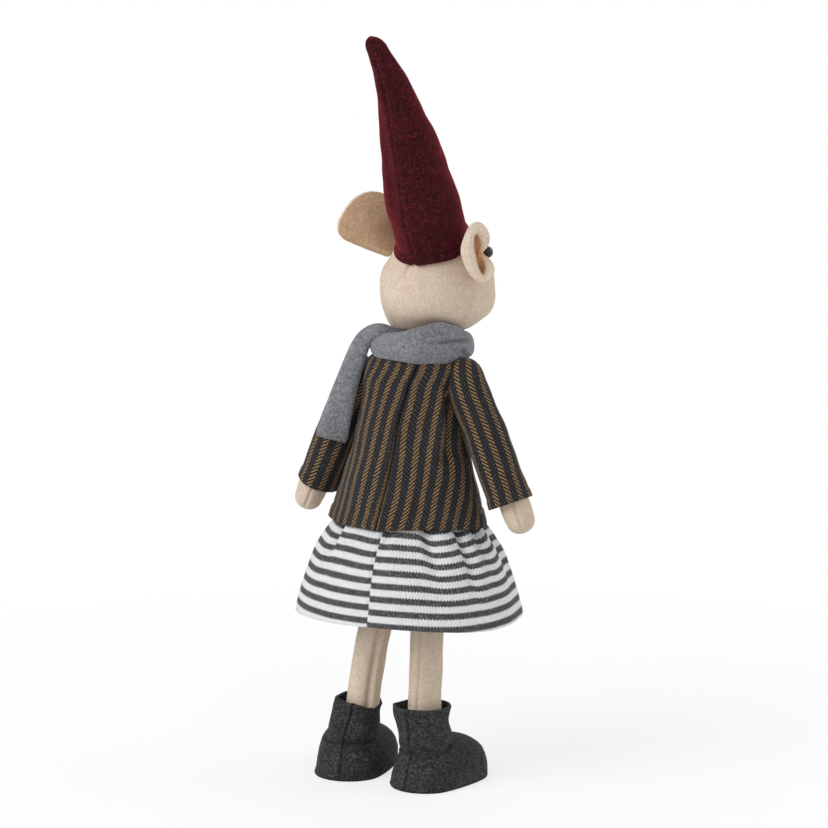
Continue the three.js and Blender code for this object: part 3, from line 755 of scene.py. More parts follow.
@dataclass
class Head:
    """A stuffed head of three felt panels with a pointed snout, and its bead eyes and nose."""

    centre: Vector = Vector((-5, -30, 333.5))
    halves: Vector = Vector((38, 39.5, 43))
    floor: float = 300.5
    felt: float = 1.5
    ease_in: float = 1.2
    grid: tuple[int, int] = (216, 132)
    filling_grid: tuple[int, int] = (72, 48)
    lumps: tuple[Lumps, ...] = (Lumps(26, 0.8), Lumps(9, 0.2))
    snout_reach: float = 24.0
    snout_spread: float = 38.0
    snout_point: float = 2.0
    seam_back: float = 13.5
    seam_height: float = 338.0
    seam_tilt: float = 1 / 6
    seam_creases: tuple[Crease, ...] = (Crease(0.8, -0.55), Crease(3.0, 0.2))
    face_seam: Crease = Crease(0.9, -0.55)
    face_seam_start: Fade = Fade(0, -4)
    dart: Crease = Crease(0.9, -2.2)
    dart_turn: float = -3.0
    dart_z: float = 349.7
    dart_lean: float = 0.23
    dart_rise: Fade = Fade(339.5, 343)
    pinch: Crease = Crease(0.7, -1.2)
    pinch_turn: float = -33.0
    pinch_fall: Fade = Fade(312, 306)
    left_turn: float = -60.0
    jowl: Crease = Crease(17, 0.6)
    jowl_z: float = 326.0
    jowl_fullness: float = 0.45
    left_temple: float = 4.0
    left_temple_rise: Fade = Fade(336, 354)
    right_temple: float = 0.26
    right_temple_rise: Fade = Fade(331, 364)
    right_temple_side: Fade = Fade(6, -14)
    cheek: float = 2.6
    cheek_turn: float = 120.0
    cheek_fall: Fade = Fade(334, 318)
    nape: float = 1.8
    nape_turn: float = 25.0
    nape_fall: Fade = Fade(336, 318)
    scarf_clear: Fade = Fade(304, 316)
    chin_soft: float = 3.0
    chin_round: float = 8.0
    chin_front: Fade = Fade(6, -10)
    eye_r: float = 4.2
    eye_yaw: float = 50.0
    eye_pitch: float = 23.0
    nose_r: float = 5.0
    nose_pitch: float = -3.0
    bead_proud: float = 0.45
    bead_seat: float = -0.62
    bead_steps: int = 14
    shank_r: float = 1.4
    shank_end: float = 1.5
    shank_step: float = 0.3
    washer_r: float = 5.0
    washer_thick: float = 1.4
    washer_play: float = 0.1
    eye_washer_seat: float = 4.5
    nose_washer_seat: float = 10.0

    def temple(self, point: Vector) -> float:
        """The head's width at a point as a share of the plain round's, which its right temple draws in."""
        side = self.right_temple_side.at(point.x - self.centre.x)
        return 1 - self.right_temple * self.right_temple_rise.at(point.z) * side

    def skin(self, way: Vector) -> Vector:
        """The point of the plain head in a direction from its centre."""
        angle = math.degrees(way.angle(-BACK)) / self.snout_spread
        snout = self.snout_reach * math.exp(-self.snout_point * angle ** 2)
        point = self.centre + Vector(w * h for w, h in zip(way, self.halves)) - BACK * snout
        point.x = mix(self.centre.x, point.x, self.temple(point))
        return point

    def pushed_out(self, point: Vector, clearance: float) -> Vector:
        """A point brought out of the round of the head where it lies in it."""
        off = point - self.centre
        off.x /= self.temple(point)
        depth = Vector(o / h for o, h in zip(off, self.halves)).length
        least = 1 + clearance / self.halves.x
        return point if depth >= least else self.centre + (point - self.centre) * (least / depth)

    def seam_distance(self, point: Vector) -> float:
        """How far behind the side seam a point lies."""
        seam = self.centre.y + self.seam_back - (point.z - self.seam_height) * self.seam_tilt
        return (point.y - seam) / math.hypot(1, self.seam_tilt)

    def relief(self, turn: float, girth: float, point: Vector) -> float:
        """How far the sewn felt stands out from the plain head.

        Args:
            turn: the angle from the back.
            girth: the head's radius at that height.
            point: the point of the plain head.

        Returns:
            The way out in millimetres, below 0 in seams and darts.
        """
        z = point.z
        behind = self.seam_distance(point)
        out = sum(crease.at(behind) for crease in self.seam_creases)
        if behind < 0:
            out += self.face_seam.at(point.x - self.centre.x) * self.face_seam_start.at(behind)
        dart = turn - self.dart_turn - (z - self.dart_z) * self.dart_lean
        out += self.dart.at(arc(dart, girth)) * self.dart_rise.at(z)
        out += self.pinch.at(arc(turn - self.pinch_turn, girth)) * self.pinch_fall.at(z)
        out += sum(lumps.at(point) for lumps in self.lumps)
        leftward = facing(turn, self.left_turn)
        out += leftward ** 2 * self.jowl.at(z - self.jowl_z)
        out -= leftward * self.left_temple * self.left_temple_rise.at(z)
        clear = self.scarf_clear.at(z)
        out += facing(turn, self.cheek_turn) ** 3 * self.cheek * self.cheek_fall.at(z) * clear
        return out + facing(turn, self.nape_turn) ** 2 * self.nape * self.nape_fall.at(z) * clear

    def form(self, across: float, up: float, inset: float = 0.0) -> Vector:
        """The sewn head, taken in by an even amount: grooved at seams and darts, and flat under its neck."""
        turn = turned(across)
        pitch = math.radians((up - 0.5) * 180)
        fullness = self.jowl_fullness * facing(turn, self.left_turn) ** 2 if pitch < 0 else 0
        way = around(turn) * mix(math.cos(pitch), 1, fullness) + UP * math.sin(pitch)
        point = self.skin(way)
        point += way * (self.relief(turn, self.halves.x * math.cos(pitch), point) - inset)
        sideways = (point.x - self.centre.x) / self.halves.x
        chin = self.chin_round * sideways ** 2 * self.chin_front.at(point.y - self.centre.y)
        floor = self.floor + inset + chin
        point.z = floor + self.chin_soft * math.log1p(math.exp((point.z - floor) / self.chin_soft))
        return point

    def outwards(self, yaw: float, pitch: float, side: int) -> tuple[Vector, Vector]:
        """A point of the skin by yaw from straight ahead and pitch, and the way out of it there."""

        def at(more_yaw: float, more_pitch: float) -> Vector:
            """The skin at a slightly other direction."""
            level = math.radians(yaw + more_yaw)
            steep = math.radians(pitch + more_pitch)
            flat = Vector((math.sin(level) * side, -math.cos(level), 0))
            return self.skin(flat * math.cos(steep) + UP * math.sin(steep))

        out = (at(1, 0) - at(-1, 0)).cross(at(0, 1) - at(0, -1)).normalized()
        place = at(0, 0)
        return place, out if out.dot(place - self.centre) > 0 else -out

    def panel(self, cuts: Sequence[tuple[Vector, Vector]]) -> bmesh.types.BMesh:
        """The part of the head behind each plane, given as a point and the way that is cut off."""
        mesh = lay(self.form, *self.grid, anchor=0.5)
        close_up(mesh)
        for point, off in cuts:
            bmesh.ops.bisect_plane(
                mesh, geom=mesh.verts[:] + mesh.edges[:] + mesh.faces[:], dist=MERGE_MM,
                plane_co=point, plane_no=off, clear_outer=True,
            )
        return mesh

    def bead(self, name: str, radius: float, seat: float, place: Vector, out: Vector) -> None:
        """A turned bead with a flattened seat on a shank through the felt, and the washer that holds it."""
        quarter = math.pi / 2
        first = self.bead_seat * quarter
        angles = [mix(first, quarter, step / self.bead_steps) for step in range(self.bead_steps)]
        proud = radius * self.bead_proud
        end = -proud - seat - self.washer_thick - self.shank_end
        neck = radius * math.sin(first) - self.shank_step
        ball = [(radius * math.cos(angle), radius * math.sin(angle)) for angle in angles]
        bead = spun([(0, end), (self.shank_r, end), (self.shank_r, neck), *ball, (0, radius)])
        moved_to(bead, place + out * proud, out)
        dress(name, bead, BEAD, "head")
        inner, outer, thick = self.shank_r + self.washer_play, self.washer_r, self.washer_thick
        washer = spun(((inner, 0), (outer, 0), (outer, thick), (inner, thick), (inner, 0)))
        moved_to(washer, place - out * (seat + thick), out)
        dress(f"{name}_washer", washer, NYLON, "head")

    def build(self) -> None:
        """Makes the panels, their filling and the beads."""
        seam = Vector((0, self.centre.y + self.seam_back, self.seam_height))
        back = Vector((0, 1, self.seam_tilt)).normalized()
        panels = {"head_back_panel": [(seam, -back)]}
        for side in Side:
            inner = Vector((-side.value, 0, 0))
            panels[f"{side.word}_face_panel"] = [(seam, back), (self.centre, inner)]
        for name, cuts in panels.items():
            dress(name, self.panel(cuts), SKIN, "head", self.felt)
        inset = self.felt + self.ease_in
        filling = lay(lambda across, up: self.form(across, up, inset), *self.filling_grid)
        close_up(filling)
        dress("head_filling", filling, FILLING, "head")
        for side in Side:
            spot = self.outwards(self.eye_yaw, self.eye_pitch, side.value)
            self.bead(f"{side.word}_eye", self.eye_r, self.eye_washer_seat, *spot)
        self.bead("nose", self.nose_r, self.nose_washer_seat, *self.outwards(0, self.nose_pitch, 1))


@dataclass(frozen=True)
class RimPoint:
    """A rim point in the ear's own frame, and the share up the sewn root that it fans out from."""

    right: float
    up: float
    out: float
    root: float


@dataclass
class Ear:
    """Two felt layers sewn into one ear, which spreads from a short sewn root to a soft round rim."""

    side: Side
    origin: Vector
    rim: tuple[RimPoint, ...]
    root_low: Vector
    root_high: Vector
    flange_low: Vector
    flange_high: Vector
    lip: Fade
    belly: float
    outer_finish: Felt
    inner_finish: Felt
    inner_grow: float = 1.0
    grid: tuple[int, int] = (112, 40)
    layer_share: float = 0.5
    flange_share: float = 0.14
    felt: float = 1.6
    lap: float = 0.2
    lumps: Lumps = Lumps(11, 0.7)
    lumps_rise: Fade = Fade(0, 0.5)
    right_way: Vector = Vector((-0.866, -0.5, 0))
    out_way: Vector = Vector((-0.5, 0.866, 0))

    def form(self, across: float, along: float) -> Vector:
        """The middle between the layers, at a share round the rim and a share out from the root."""
        at = across * (len(self.rim) - 1)
        right, up, out, root = (
            through([(i, getattr(point, name)) for i, point in enumerate(self.rim)], at)
            for name in ("right", "up", "out", "root")
        )
        root = min(max(root, 0), 1)
        start = self.root_low.lerp(self.root_high, root)
        if along < self.flange_share:
            start += self.flange_low.lerp(self.flange_high, root) * (1 - along / self.flange_share)
        along = max(along - self.flange_share, 0) / (1 - self.flange_share)
        bulge = self.belly * math.sin(math.pi * min(along, 1))
        point = self.origin + self.right_way * mix(start.x, right, along) + UP * mix(start.y, up, along)
        point += self.out_way * (mix(start.z, out, self.lip.at(along)) + bulge)
        return point + self.out_way * self.lumps.at(point) * self.lumps_rise.at(along)

    def build(self) -> None:
        """Makes the outer and the inner layer."""
        layers = (
            ("outer", self.layer_share, self.outer_finish, 0.0, 1.0),
            ("inner", -self.layer_share, self.inner_finish, self.flange_share, self.inner_grow),
        )
        for name, layer, finish, start, end in layers:
            mesh = lay(lambda across, along: self.form(across, mix(start, end, along)), *self.grid)
            mesh.normal_update()
            for vert in mesh.verts:
                vert.co += vert.normal * layer * (self.felt + self.lap)
            made = dress(f"{self.side.word}_ear_{name}", mesh, finish, "head", self.felt)
            made.modifiers["wall"].offset = 0
            declare_cloth(made)


@dataclass
class Hat:
    """A tall felt cone with a seam at the back and a turned-up hem, pulled down on the head."""

    head: Head
    grid: tuple[int, int] = (200, 150)
    filling_grid: tuple[int, int] = (48, 40)
    length: float = 148.0
    lean: float = 22.0
    rise: float = 29.5
    tip_bend: float = 11.8
    tip_curl: int = 5
    pulled_down: float = 5.0
    felt: float = 1.8
    clearance: float = 2.3
    ease_in: float = 2.2
    inside_clearance: float = 0.6
    filled_from: float = 0.14
    round_from: float = 0.95
    row_spread: float = 1.25
    radii: Stations = (
        (0.0, 26.6), (0.08, 26.0), (0.2, 24.5), (0.4, 20.7), (0.62, 15.2), (0.78, 10.8), (0.93, 6.9),
        (1.0, 5.8),
    )
    seam: Crease = Crease(0.9, -0.8)
    seam_fall: Fade = Fade(1.0, 0.8)
    seam_swell: Crease = Crease(6.0, 0.5)
    slit: Crease = Crease(1.4, -2.2)
    slit_fall: Fade = Fade(12, 0)
    hem: float = 6.0
    hem_stitch: Crease = Crease(1.2, -1.0)
    hem_fold: float = 0.5
    hem_edge: Fade = Fade(0, -2)
    dent: Crease = Crease(24, -1.2)
    dent_turn: float = -62.0
    dent_tall: float = 17.0
    dent_height: float = 8.0
    fold: Crease = Crease(5.0, -0.9)
    fold_off: float = -9.0
    fold_lean: float = 0.02
    fold_rise: Fade = Fade(0.1, 0.3)
    fold_fall: Fade = Fade(0.85, 0.6)
    lumps: tuple[Lumps, ...] = (Lumps(30, 1.5), Lumps(11, 0.5))
    lumps_r: float = 20.0
    tuck: float = 2.5
    tuck_fall: Fade = Fade(10, -4)
    temple_fall: Fade = Fade(30, 4)

    def radius(self, share: float) -> float:
        """The cone's radius, rounded off at the tip."""
        radius = through(self.radii, share)
        past = (share - self.round_from) / (1 - self.round_from)
        return radius * math.sqrt(max(1 - past ** 2, 0)) if past > 0 else radius

    def relief(self, turn: float, tall: float, radius: float) -> float:
        """How far the felt stands out from the plain cone at an angle and a height above the head's line."""
        share = max(tall / self.length, 0)
        off = arc(turn, radius)
        above_edge = tall + self.pulled_down
        slit = self.slit_fall.at(above_edge)
        width = mix(self.seam.width, self.slit.width, slit)
        depth = mix(self.seam.height, self.slit.height, slit)
        out = bump(off, width, depth) * self.seam_fall.at(share) + self.seam_swell.at(off)
        from_hem = above_edge - self.hem
        out += self.hem_stitch.at(from_hem) + self.hem_fold * self.hem_edge.at(from_hem)
        out += self.dent.at(turn - self.dent_turn) * bump(tall - self.dent_tall, self.dent_height, 1)
        line = off - self.fold_off - tall * self.fold_lean
        out += self.fold.at(line) * self.fold_rise.at(share) * self.fold_fall.at(share)
        spot = on_tube(turn, self.lumps_r, tall)
        return out + sum(lumps.at(spot) for lumps in self.lumps)

    def form(self, inset: float = 0.0) -> Form:
        """The hat taken in by an even amount."""
        lean = Matrix.Rotation(math.radians(-self.lean), 3, "X")

        def place(across: float, up: float) -> Vector:
            """The point at a share around, with the back at a half, and a share up."""
            turn = turned(across)
            tall = mix(-self.pulled_down, self.length, 1 - (1 - up) ** self.row_spread)
            share = max(tall / self.length, 0)
            radius = self.radius(share) - inset
            point = on_tube(turn, max(radius + self.relief(turn, tall, radius), 0), tall)
            point.x += self.tip_bend * share ** self.tip_curl
            point.z += self.rise
            point = lean @ point + self.head.centre
            point = self.head.pushed_out(point, self.clearance - inset * self.inside_clearance)
            left = self.head.left_turn
            drawn_in = self.head.left_temple + self.tuck * self.tuck_fall.at(tall)
            return point - around(left) * facing(turn, left) * drawn_in * self.temple_fall.at(tall)

        return place

    def build(self) -> None:
        """Makes the felt and the filling in it."""
        mesh = lay(self.form(), *self.grid, anchor=0.5)
        dress("hat", mesh, HAT_FELT, "head", self.felt)
        shell = self.form(self.felt + self.ease_in)
        inside = lay(
            lambda across, up: shell(across, mix(self.filled_from, 1, up)), *self.filling_grid, anchor=0.5,
        )
        fill_ends(inside)
        dress("hat_filling", inside, FILLING, "head")


# The clothes


@dataclass
class Trunk:
    """How the clothed body rises: its half widths, its depth against them and its leaning middle."""

    depth: Stations = ((112, 0.72), (176, 0.79), (270, 0.66), (300, 0.9))
    front_depth: Stations = ((112, 0.72), (176, 0.79), (240, 0.77), (270, 0.79), (300, 0.9))
    bend_from: float = 270.0
    neck: Vector = Vector((-2.5, -16, 300))

    def centre(self, z: float) -> Vector:
        """The middle of the body at a height."""
        share = max(z - self.bend_from, 0) / (self.neck.z - self.bend_from)
        return Vector((self.neck.x * share, self.neck.y * share, z))

    def at(self, half: float, turn: float, z: float, out: float = 0.0) -> Vector:
        """A point on the body at a half width, an angle from the back and a height."""
        way = around(turn)
        deep = through(self.depth if way.y > 0 else self.front_depth, z)
        return self.centre(z) + Vector((way.x * (half + out), way.y * (half * deep + out), 0))


@dataclass(frozen=True)
class Drag:
    """A drag line that an arm pulls in the jacket: a groove, and a ridge some degrees beside it."""

    top_turn: float
    low_turn: float
    slide: Fade
    groove: Crease
    ridge: Crease
    ridge_off: float
    rise: Fade
    fall: Fade

    def at(self, turn: float, z: float) -> float:
        """How far it moves the cloth out at an angle and a height."""
        off = turn - mix(self.top_turn, self.low_turn, self.slide.at(z))
        return (self.groove.at(off) + self.ridge.at(off - self.ridge_off)) * self.rise.at(z) * self.fall.at(z)


@dataclass
class Jacket:
    """Four tweed panels with a seam down the back and a turned hem, buttoned at the front."""

    trunk: Trunk
    grid: tuple[int, int] = (96, 130)
    hem_z: float = 176.0
    top_z: float = 291.0
    cloth: float = 1.4
    half: Stations = (
        (176, 55.2), (204, 47.1), (227, 40.7), (247, 36.2), (262, 33.6), (270, 33.6), (277, 34.6),
        (283, 33.5), (288, 27.0), (291, 19.5),
    )
    back_seam_turn: Stations = ((176, 0), (204, 3.5), (247, 10), (266, 19), (280, 25), (291, 27))
    back_seam: tuple[Crease, ...] = (Crease(0.8, -3.2), Crease(5.0, 0.7))
    side_turn: float = 97.0
    side_seam: Crease = Crease(1.2, -0.9)
    hem: float = 9.0
    hem_edge: float = 3.0
    hem_fold: float = 0.7
    hem_stitch: Crease = Crease(1.0, -0.3)
    hem_waves: tuple[Wave, ...] = (Wave(5, 0.9, 40), Wave(9, 0.5))
    hem_waves_fall: Fade = Fade(45, 0)
    hem_sag: Wave = Wave(3, 0.9, -20)
    hem_sag_fall: Fade = Fade(0.12, 0)
    drags: tuple[Drag, ...] = (
        Drag(76, 63, Fade(255, 215), Crease(7, -2.6), Crease(8, 3.4), -15, Fade(208, 230), Fade(272, 258)),
        Drag(-70, -70, Fade(255, 215), Crease(9, -2.0), Crease(9, 0.0), 0, Fade(210, 235), Fade(272, 258)),
    )
    wrinkles: Lumps = Lumps(13, 1.5)
    wrinkles_rise: Fade = Fade(0, 25)
    lumps: Lumps = Lumps(34, 1.6)
    lumps_r: float = 30.0
    lumps_squash: float = 0.6
    lap_turn: float = 8.0
    lap_lift: float = 1.6
    lap_rise: Fade = Fade(166, 176)
    button_edge: Stations = ((0.8, 0), (0, 0.9), (0.1, 1.9), (0.7, 2.4), (1.3, 2.3), (1.8, 1.7))
    button_dish: float = 1.5
    button_steps: int = 40
    button_r: float = 5.0
    button_seat: float = 1.3
    button_first: float = 14.5
    button_pitch: float = 24.0
    button_count: int = 3
    hole_count: int = 4
    hole_steps: int = 10
    hole_ring: float = 1.15
    hole_z: float = 1.55
    hole_r: float = 0.62
    hole_end_r: float = 0.45
    hole_depth: float = 0.5

    def surface(self, turn: float, z: float) -> Vector:
        """The jacket's outside at an angle and a height, with its seams, hem and folds."""
        half = through(self.half, z)
        from_seam = arc(turn - through(self.back_seam_turn, z), half)
        out = sum(crease.at(from_seam) for crease in self.back_seam)
        for side in Side:
            out += self.side_seam.at(arc(turn + side.value * self.side_turn, half))
        tall = z - self.hem_z
        fold = self.hem_fold * ease(self.hem, self.hem - self.hem_edge, tall)
        out += fold + self.hem_stitch.at(tall - self.hem)
        out += sum(drag.at(turn, z) for drag in self.drags)
        spot = on_tube(turn, self.lumps_r, z * self.lumps_squash)
        out += self.wrinkles.at(spot) * self.wrinkles_rise.at(tall) + self.lumps.at(spot)
        out += sum(wave.at(turn) for wave in self.hem_waves) * self.hem_waves_fall.at(tall)
        return self.trunk.at(half, turn, z, out)

    def panel(self, start: Stations, end: Stations, lift: float) -> Form:
        """A panel between two edges given as angles by height, lifted where it laps over."""

        def place(across: float, up: float) -> Vector:
            """The point at a share across and up."""
            z = mix(self.hem_z, self.top_z, up)
            turn = mix(through(start, z), through(end, z), across)
            sag = self.hem_sag.at(turn) * self.hem_sag_fall.at(up)
            lapped = around(turn) * lift * self.lap_rise.at(abs(turn))
            return self.surface(turn, z) + UP * sag + lapped

        return place

    def build(self) -> None:
        """Makes the panels and their buttons."""

        def upright(turn: float) -> Stations:
            """An edge that stays at one angle."""
            return ((self.hem_z, turn), (self.top_z, turn))

        right, left = upright(self.side_turn), upright(-self.side_turn)
        front, lapped = upright(180), upright(-180 - self.lap_turn)
        panels = (
            ("back_right", self.back_seam_turn, right, 0.0, 0.0, BACK_RIGHT_TWEED),
            ("back_left", left, self.back_seam_turn, 1.0, 0.0, BACK_LEFT_TWEED),
            ("front_right", right, front, 1.0, 0.0, FRONT_TWEED),
            ("front_left", lapped, left, 0.0, self.lap_lift, FRONT_TWEED),
        )
        for name, start, end, anchor, lift, finish in panels:
            mesh = lay(self.panel(start, end, lift), *self.grid, anchor)
            made = dress(f"jacket_{name}", mesh, finish, "torso", self.cloth)
            declare_cloth(made)
        for number in range(self.button_count):
            z = self.hem_z + self.button_first + self.button_pitch * number
            self.button(f"jacket_button_{number + 1}", z)

    def button(self, name: str, z: float) -> None:
        """A turned button with a rim, a dish and four thread holes, sewn flat on the front."""
        edge = [(self.button_r - inset, height) for inset, height in self.button_edge]
        mesh = spun([(0, 0), *edge, (0, self.button_dish)], self.button_steps)
        for step in range(self.hole_count):
            way = around((step + 0.5) * 360 / self.hole_count)
            place = Matrix.Translation(way * self.hole_ring + UP * self.hole_z)
            bmesh.ops.create_cone(
                mesh, cap_ends=True, segments=self.hole_steps, radius1=self.hole_r, radius2=self.hole_end_r,
                depth=self.hole_depth, matrix=place,
            )
        low, high = (self.surface(180, z + step * self.button_r) for step in (-1, 1))
        out = (high - low).cross(Vector((1, 0, 0))).normalized()
        out = out if out.y < 0 else -out
        moved_to(mesh, self.surface(180, z) + out * self.button_seat, out)
        dress(name, mesh, HORN, "torso")


@dataclass
class Arm:
    """A stuffed felt arm with a stub hand, in a tweed sleeve sewn round the shoulder."""

    side: Side
    cap_rise: float
    arm_splay: float
    sleeve_splay: float
    arm_grid: tuple[int, int] = (132, 80)
    sleeve_grid: tuple[int, int] = (120, 110)
    shoulder_half: float = 42.2
    shoulder_y: float = -6.0
    shoulder_z: float = 270.0
    cloth: float = 1.3
    felt: float = 1.5
    sleeve_length: float = 84.0
    sleeve_r: Stations = ((0, 12.6), (18, 13.4), (48, 14.2), (84, 14.5))
    cap_r: float = 12.6
    cap_from: float = 0.86
    sleeve_seam: Crease = Crease(1.2, -0.8)
    cuff_hem: float = 7.0
    cuff_edge: float = 2.5
    cuff_fold: float = 0.6
    cuff_wave: Wave = Wave(3, 0.8, 50)
    cuff_wave_fall: Fade = Fade(30, 0)
    wrinkles: Lumps = Lumps(10, 0.6)
    wrinkles_rise: Fade = Fade(0, 14)
    sleeve_lumps: Lumps = Lumps(26, 0.4)
    sleeve_lumps_r: float = 14.0
    sleeve_lumps_squash: float = 0.7
    tuck: float = 3.8
    tuck_low: Fade = Fade(34, 12)
    tuck_high: Fade = Fade(-13, 6)
    tuck_outer_share: float = 0.35
    arm_length: float = 105.6
    arm_r: Stations = ((0, 8.2), (30, 8.6), (60, 9.2), (80, 9.8), (90, 10.3), (96, 9.7), (101, 7.6))
    hand_from: float = 96.0
    hand_r: float = 9.7
    hand_roundness: float = 2.3
    arm_seam: tuple[Crease, ...] = (Crease(0.9, -1.1), Crease(4, 0.3))
    arm_seam_turn: float = 26.0
    arm_seam_end: float = 100.0
    arm_lumps: Lumps = Lumps(14, 0.5)
    arm_lumps_r: float = 9.0
    arm_lumps_end: float = 98.0

    def limb(self, splay: float, down: float, turn: float, radius: float) -> Vector:
        """A point round the limb, by the way down it, the angle from the back and the radius."""
        tilt = math.radians(splay)
        axis = Vector((self.side.value * math.sin(tilt), 0, -math.cos(tilt)))
        sideways = BACK.cross(axis)
        pivot = Vector((self.side.value * self.shoulder_half, self.shoulder_y, self.shoulder_z))
        angle = math.radians(turn)
        return pivot + axis * down + (BACK * math.cos(angle) + sideways * math.sin(angle)) * radius

    def sleeve(self, across: float, up: float) -> Vector:
        """The sleeve from its cuff up to the round of the shoulder, tucked in under the arm."""
        turn = turned(across)
        if up < self.cap_from:
            down = self.sleeve_length * (1 - up / self.cap_from)
            radius = through(self.sleeve_r, down)
        else:
            rise = (up - self.cap_from) / (1 - self.cap_from) * math.pi / 2
            down = -self.cap_rise * math.sin(rise)
            radius = self.cap_r * math.cos(rise)
        from_cuff = self.sleeve_length - down
        spot = on_tube(turn, self.sleeve_lumps_r, down * self.sleeve_lumps_squash)
        out = self.wrinkles.at(spot) * self.wrinkles_rise.at(from_cuff) + self.sleeve_lumps.at(spot)
        out += self.cuff_fold * ease(self.cuff_hem, self.cuff_hem - self.cuff_edge, from_cuff)
        out += self.sleeve_seam.at(arc(turn - self.side.value * 90, radius))
        out *= ease(-self.cap_rise, 0, down)
        out += self.cuff_wave.at(turn) * self.cuff_wave_fall.at(from_cuff)
        point = self.limb(self.sleeve_splay, down, turn, max(radius + out, 0))
        inner = max(math.sin(math.radians(turn)) * self.side.value, 0)
        tuck = self.tuck * self.tuck_low.at(down) * self.tuck_high.at(down)
        point.x -= self.side.value * tuck * mix(self.tuck_outer_share, 1, inner)
        return point

    def skin(self, across: float, up: float) -> Vector:
        """The arm from its rounded hand up into the sleeve, with a seam down its back."""
        turn = turned(across)
        down = self.arm_length * math.cos(up * math.pi / 2)
        radius = through(self.arm_r, down)
        if down > self.hand_from:
            past = (down - self.hand_from) / (self.arm_length - self.hand_from)
            radius = self.hand_r * math.sqrt(max(1 - past ** self.hand_roundness, 0))
        from_seam = arc(turn - self.arm_seam_turn, radius)
        out = sum(crease.at(from_seam) for crease in self.arm_seam)
        out *= ease(self.arm_length, self.arm_seam_end, down)
        lumps = self.arm_lumps.at(on_tube(turn, self.arm_lumps_r, down))
        out += lumps * ease(self.arm_length, self.arm_lumps_end, down)
        return self.limb(self.arm_splay, down, turn, max(radius + out, 0))

    def build(self) -> None:
        """Makes the arm and its sleeve."""
        word = self.side.word
        body = f"{word}_arm"
        arm = lay(self.skin, *self.arm_grid, anchor=0.5)
        dress(f"{word}_arm_skin", arm, SKIN, body, self.felt)
        sleeve = lay(self.sleeve, *self.sleeve_grid, anchor=0.5)
        made = dress(f"{word}_sleeve", sleeve, SLEEVE_TWEED[self.side], body, self.cloth)
        declare_cloth(made)


@dataclass(frozen=True)
class Fold:
    """A fold in the gathered skirt: where it leaves the jacket, where it dies out and how deep it is."""

    top_turn: float
    low_turn: float
    low_z: float
    depth: float
    width: float
    ridge: float = 1.3
    ridge_off: float = 2.0
    ridge_width: float = 1.6
    fade: Fade = Fade(1.15, 0.25)

    def at(self, turn: float, z: float, top_z: float) -> float:
        """How far it moves the cloth out at an angle and a height."""
        share = min(max((top_z - z) / (top_z - self.low_z), 0), 1)
        off = wrapped(turn - mix(self.top_turn, self.low_turn, share))
        groove = bump(off, self.width, -self.depth)
        ridge = bump(off - self.width * self.ridge_off, self.width * self.ridge_width, self.ridge)
        return (groove + ridge) * self.fade.at(share)


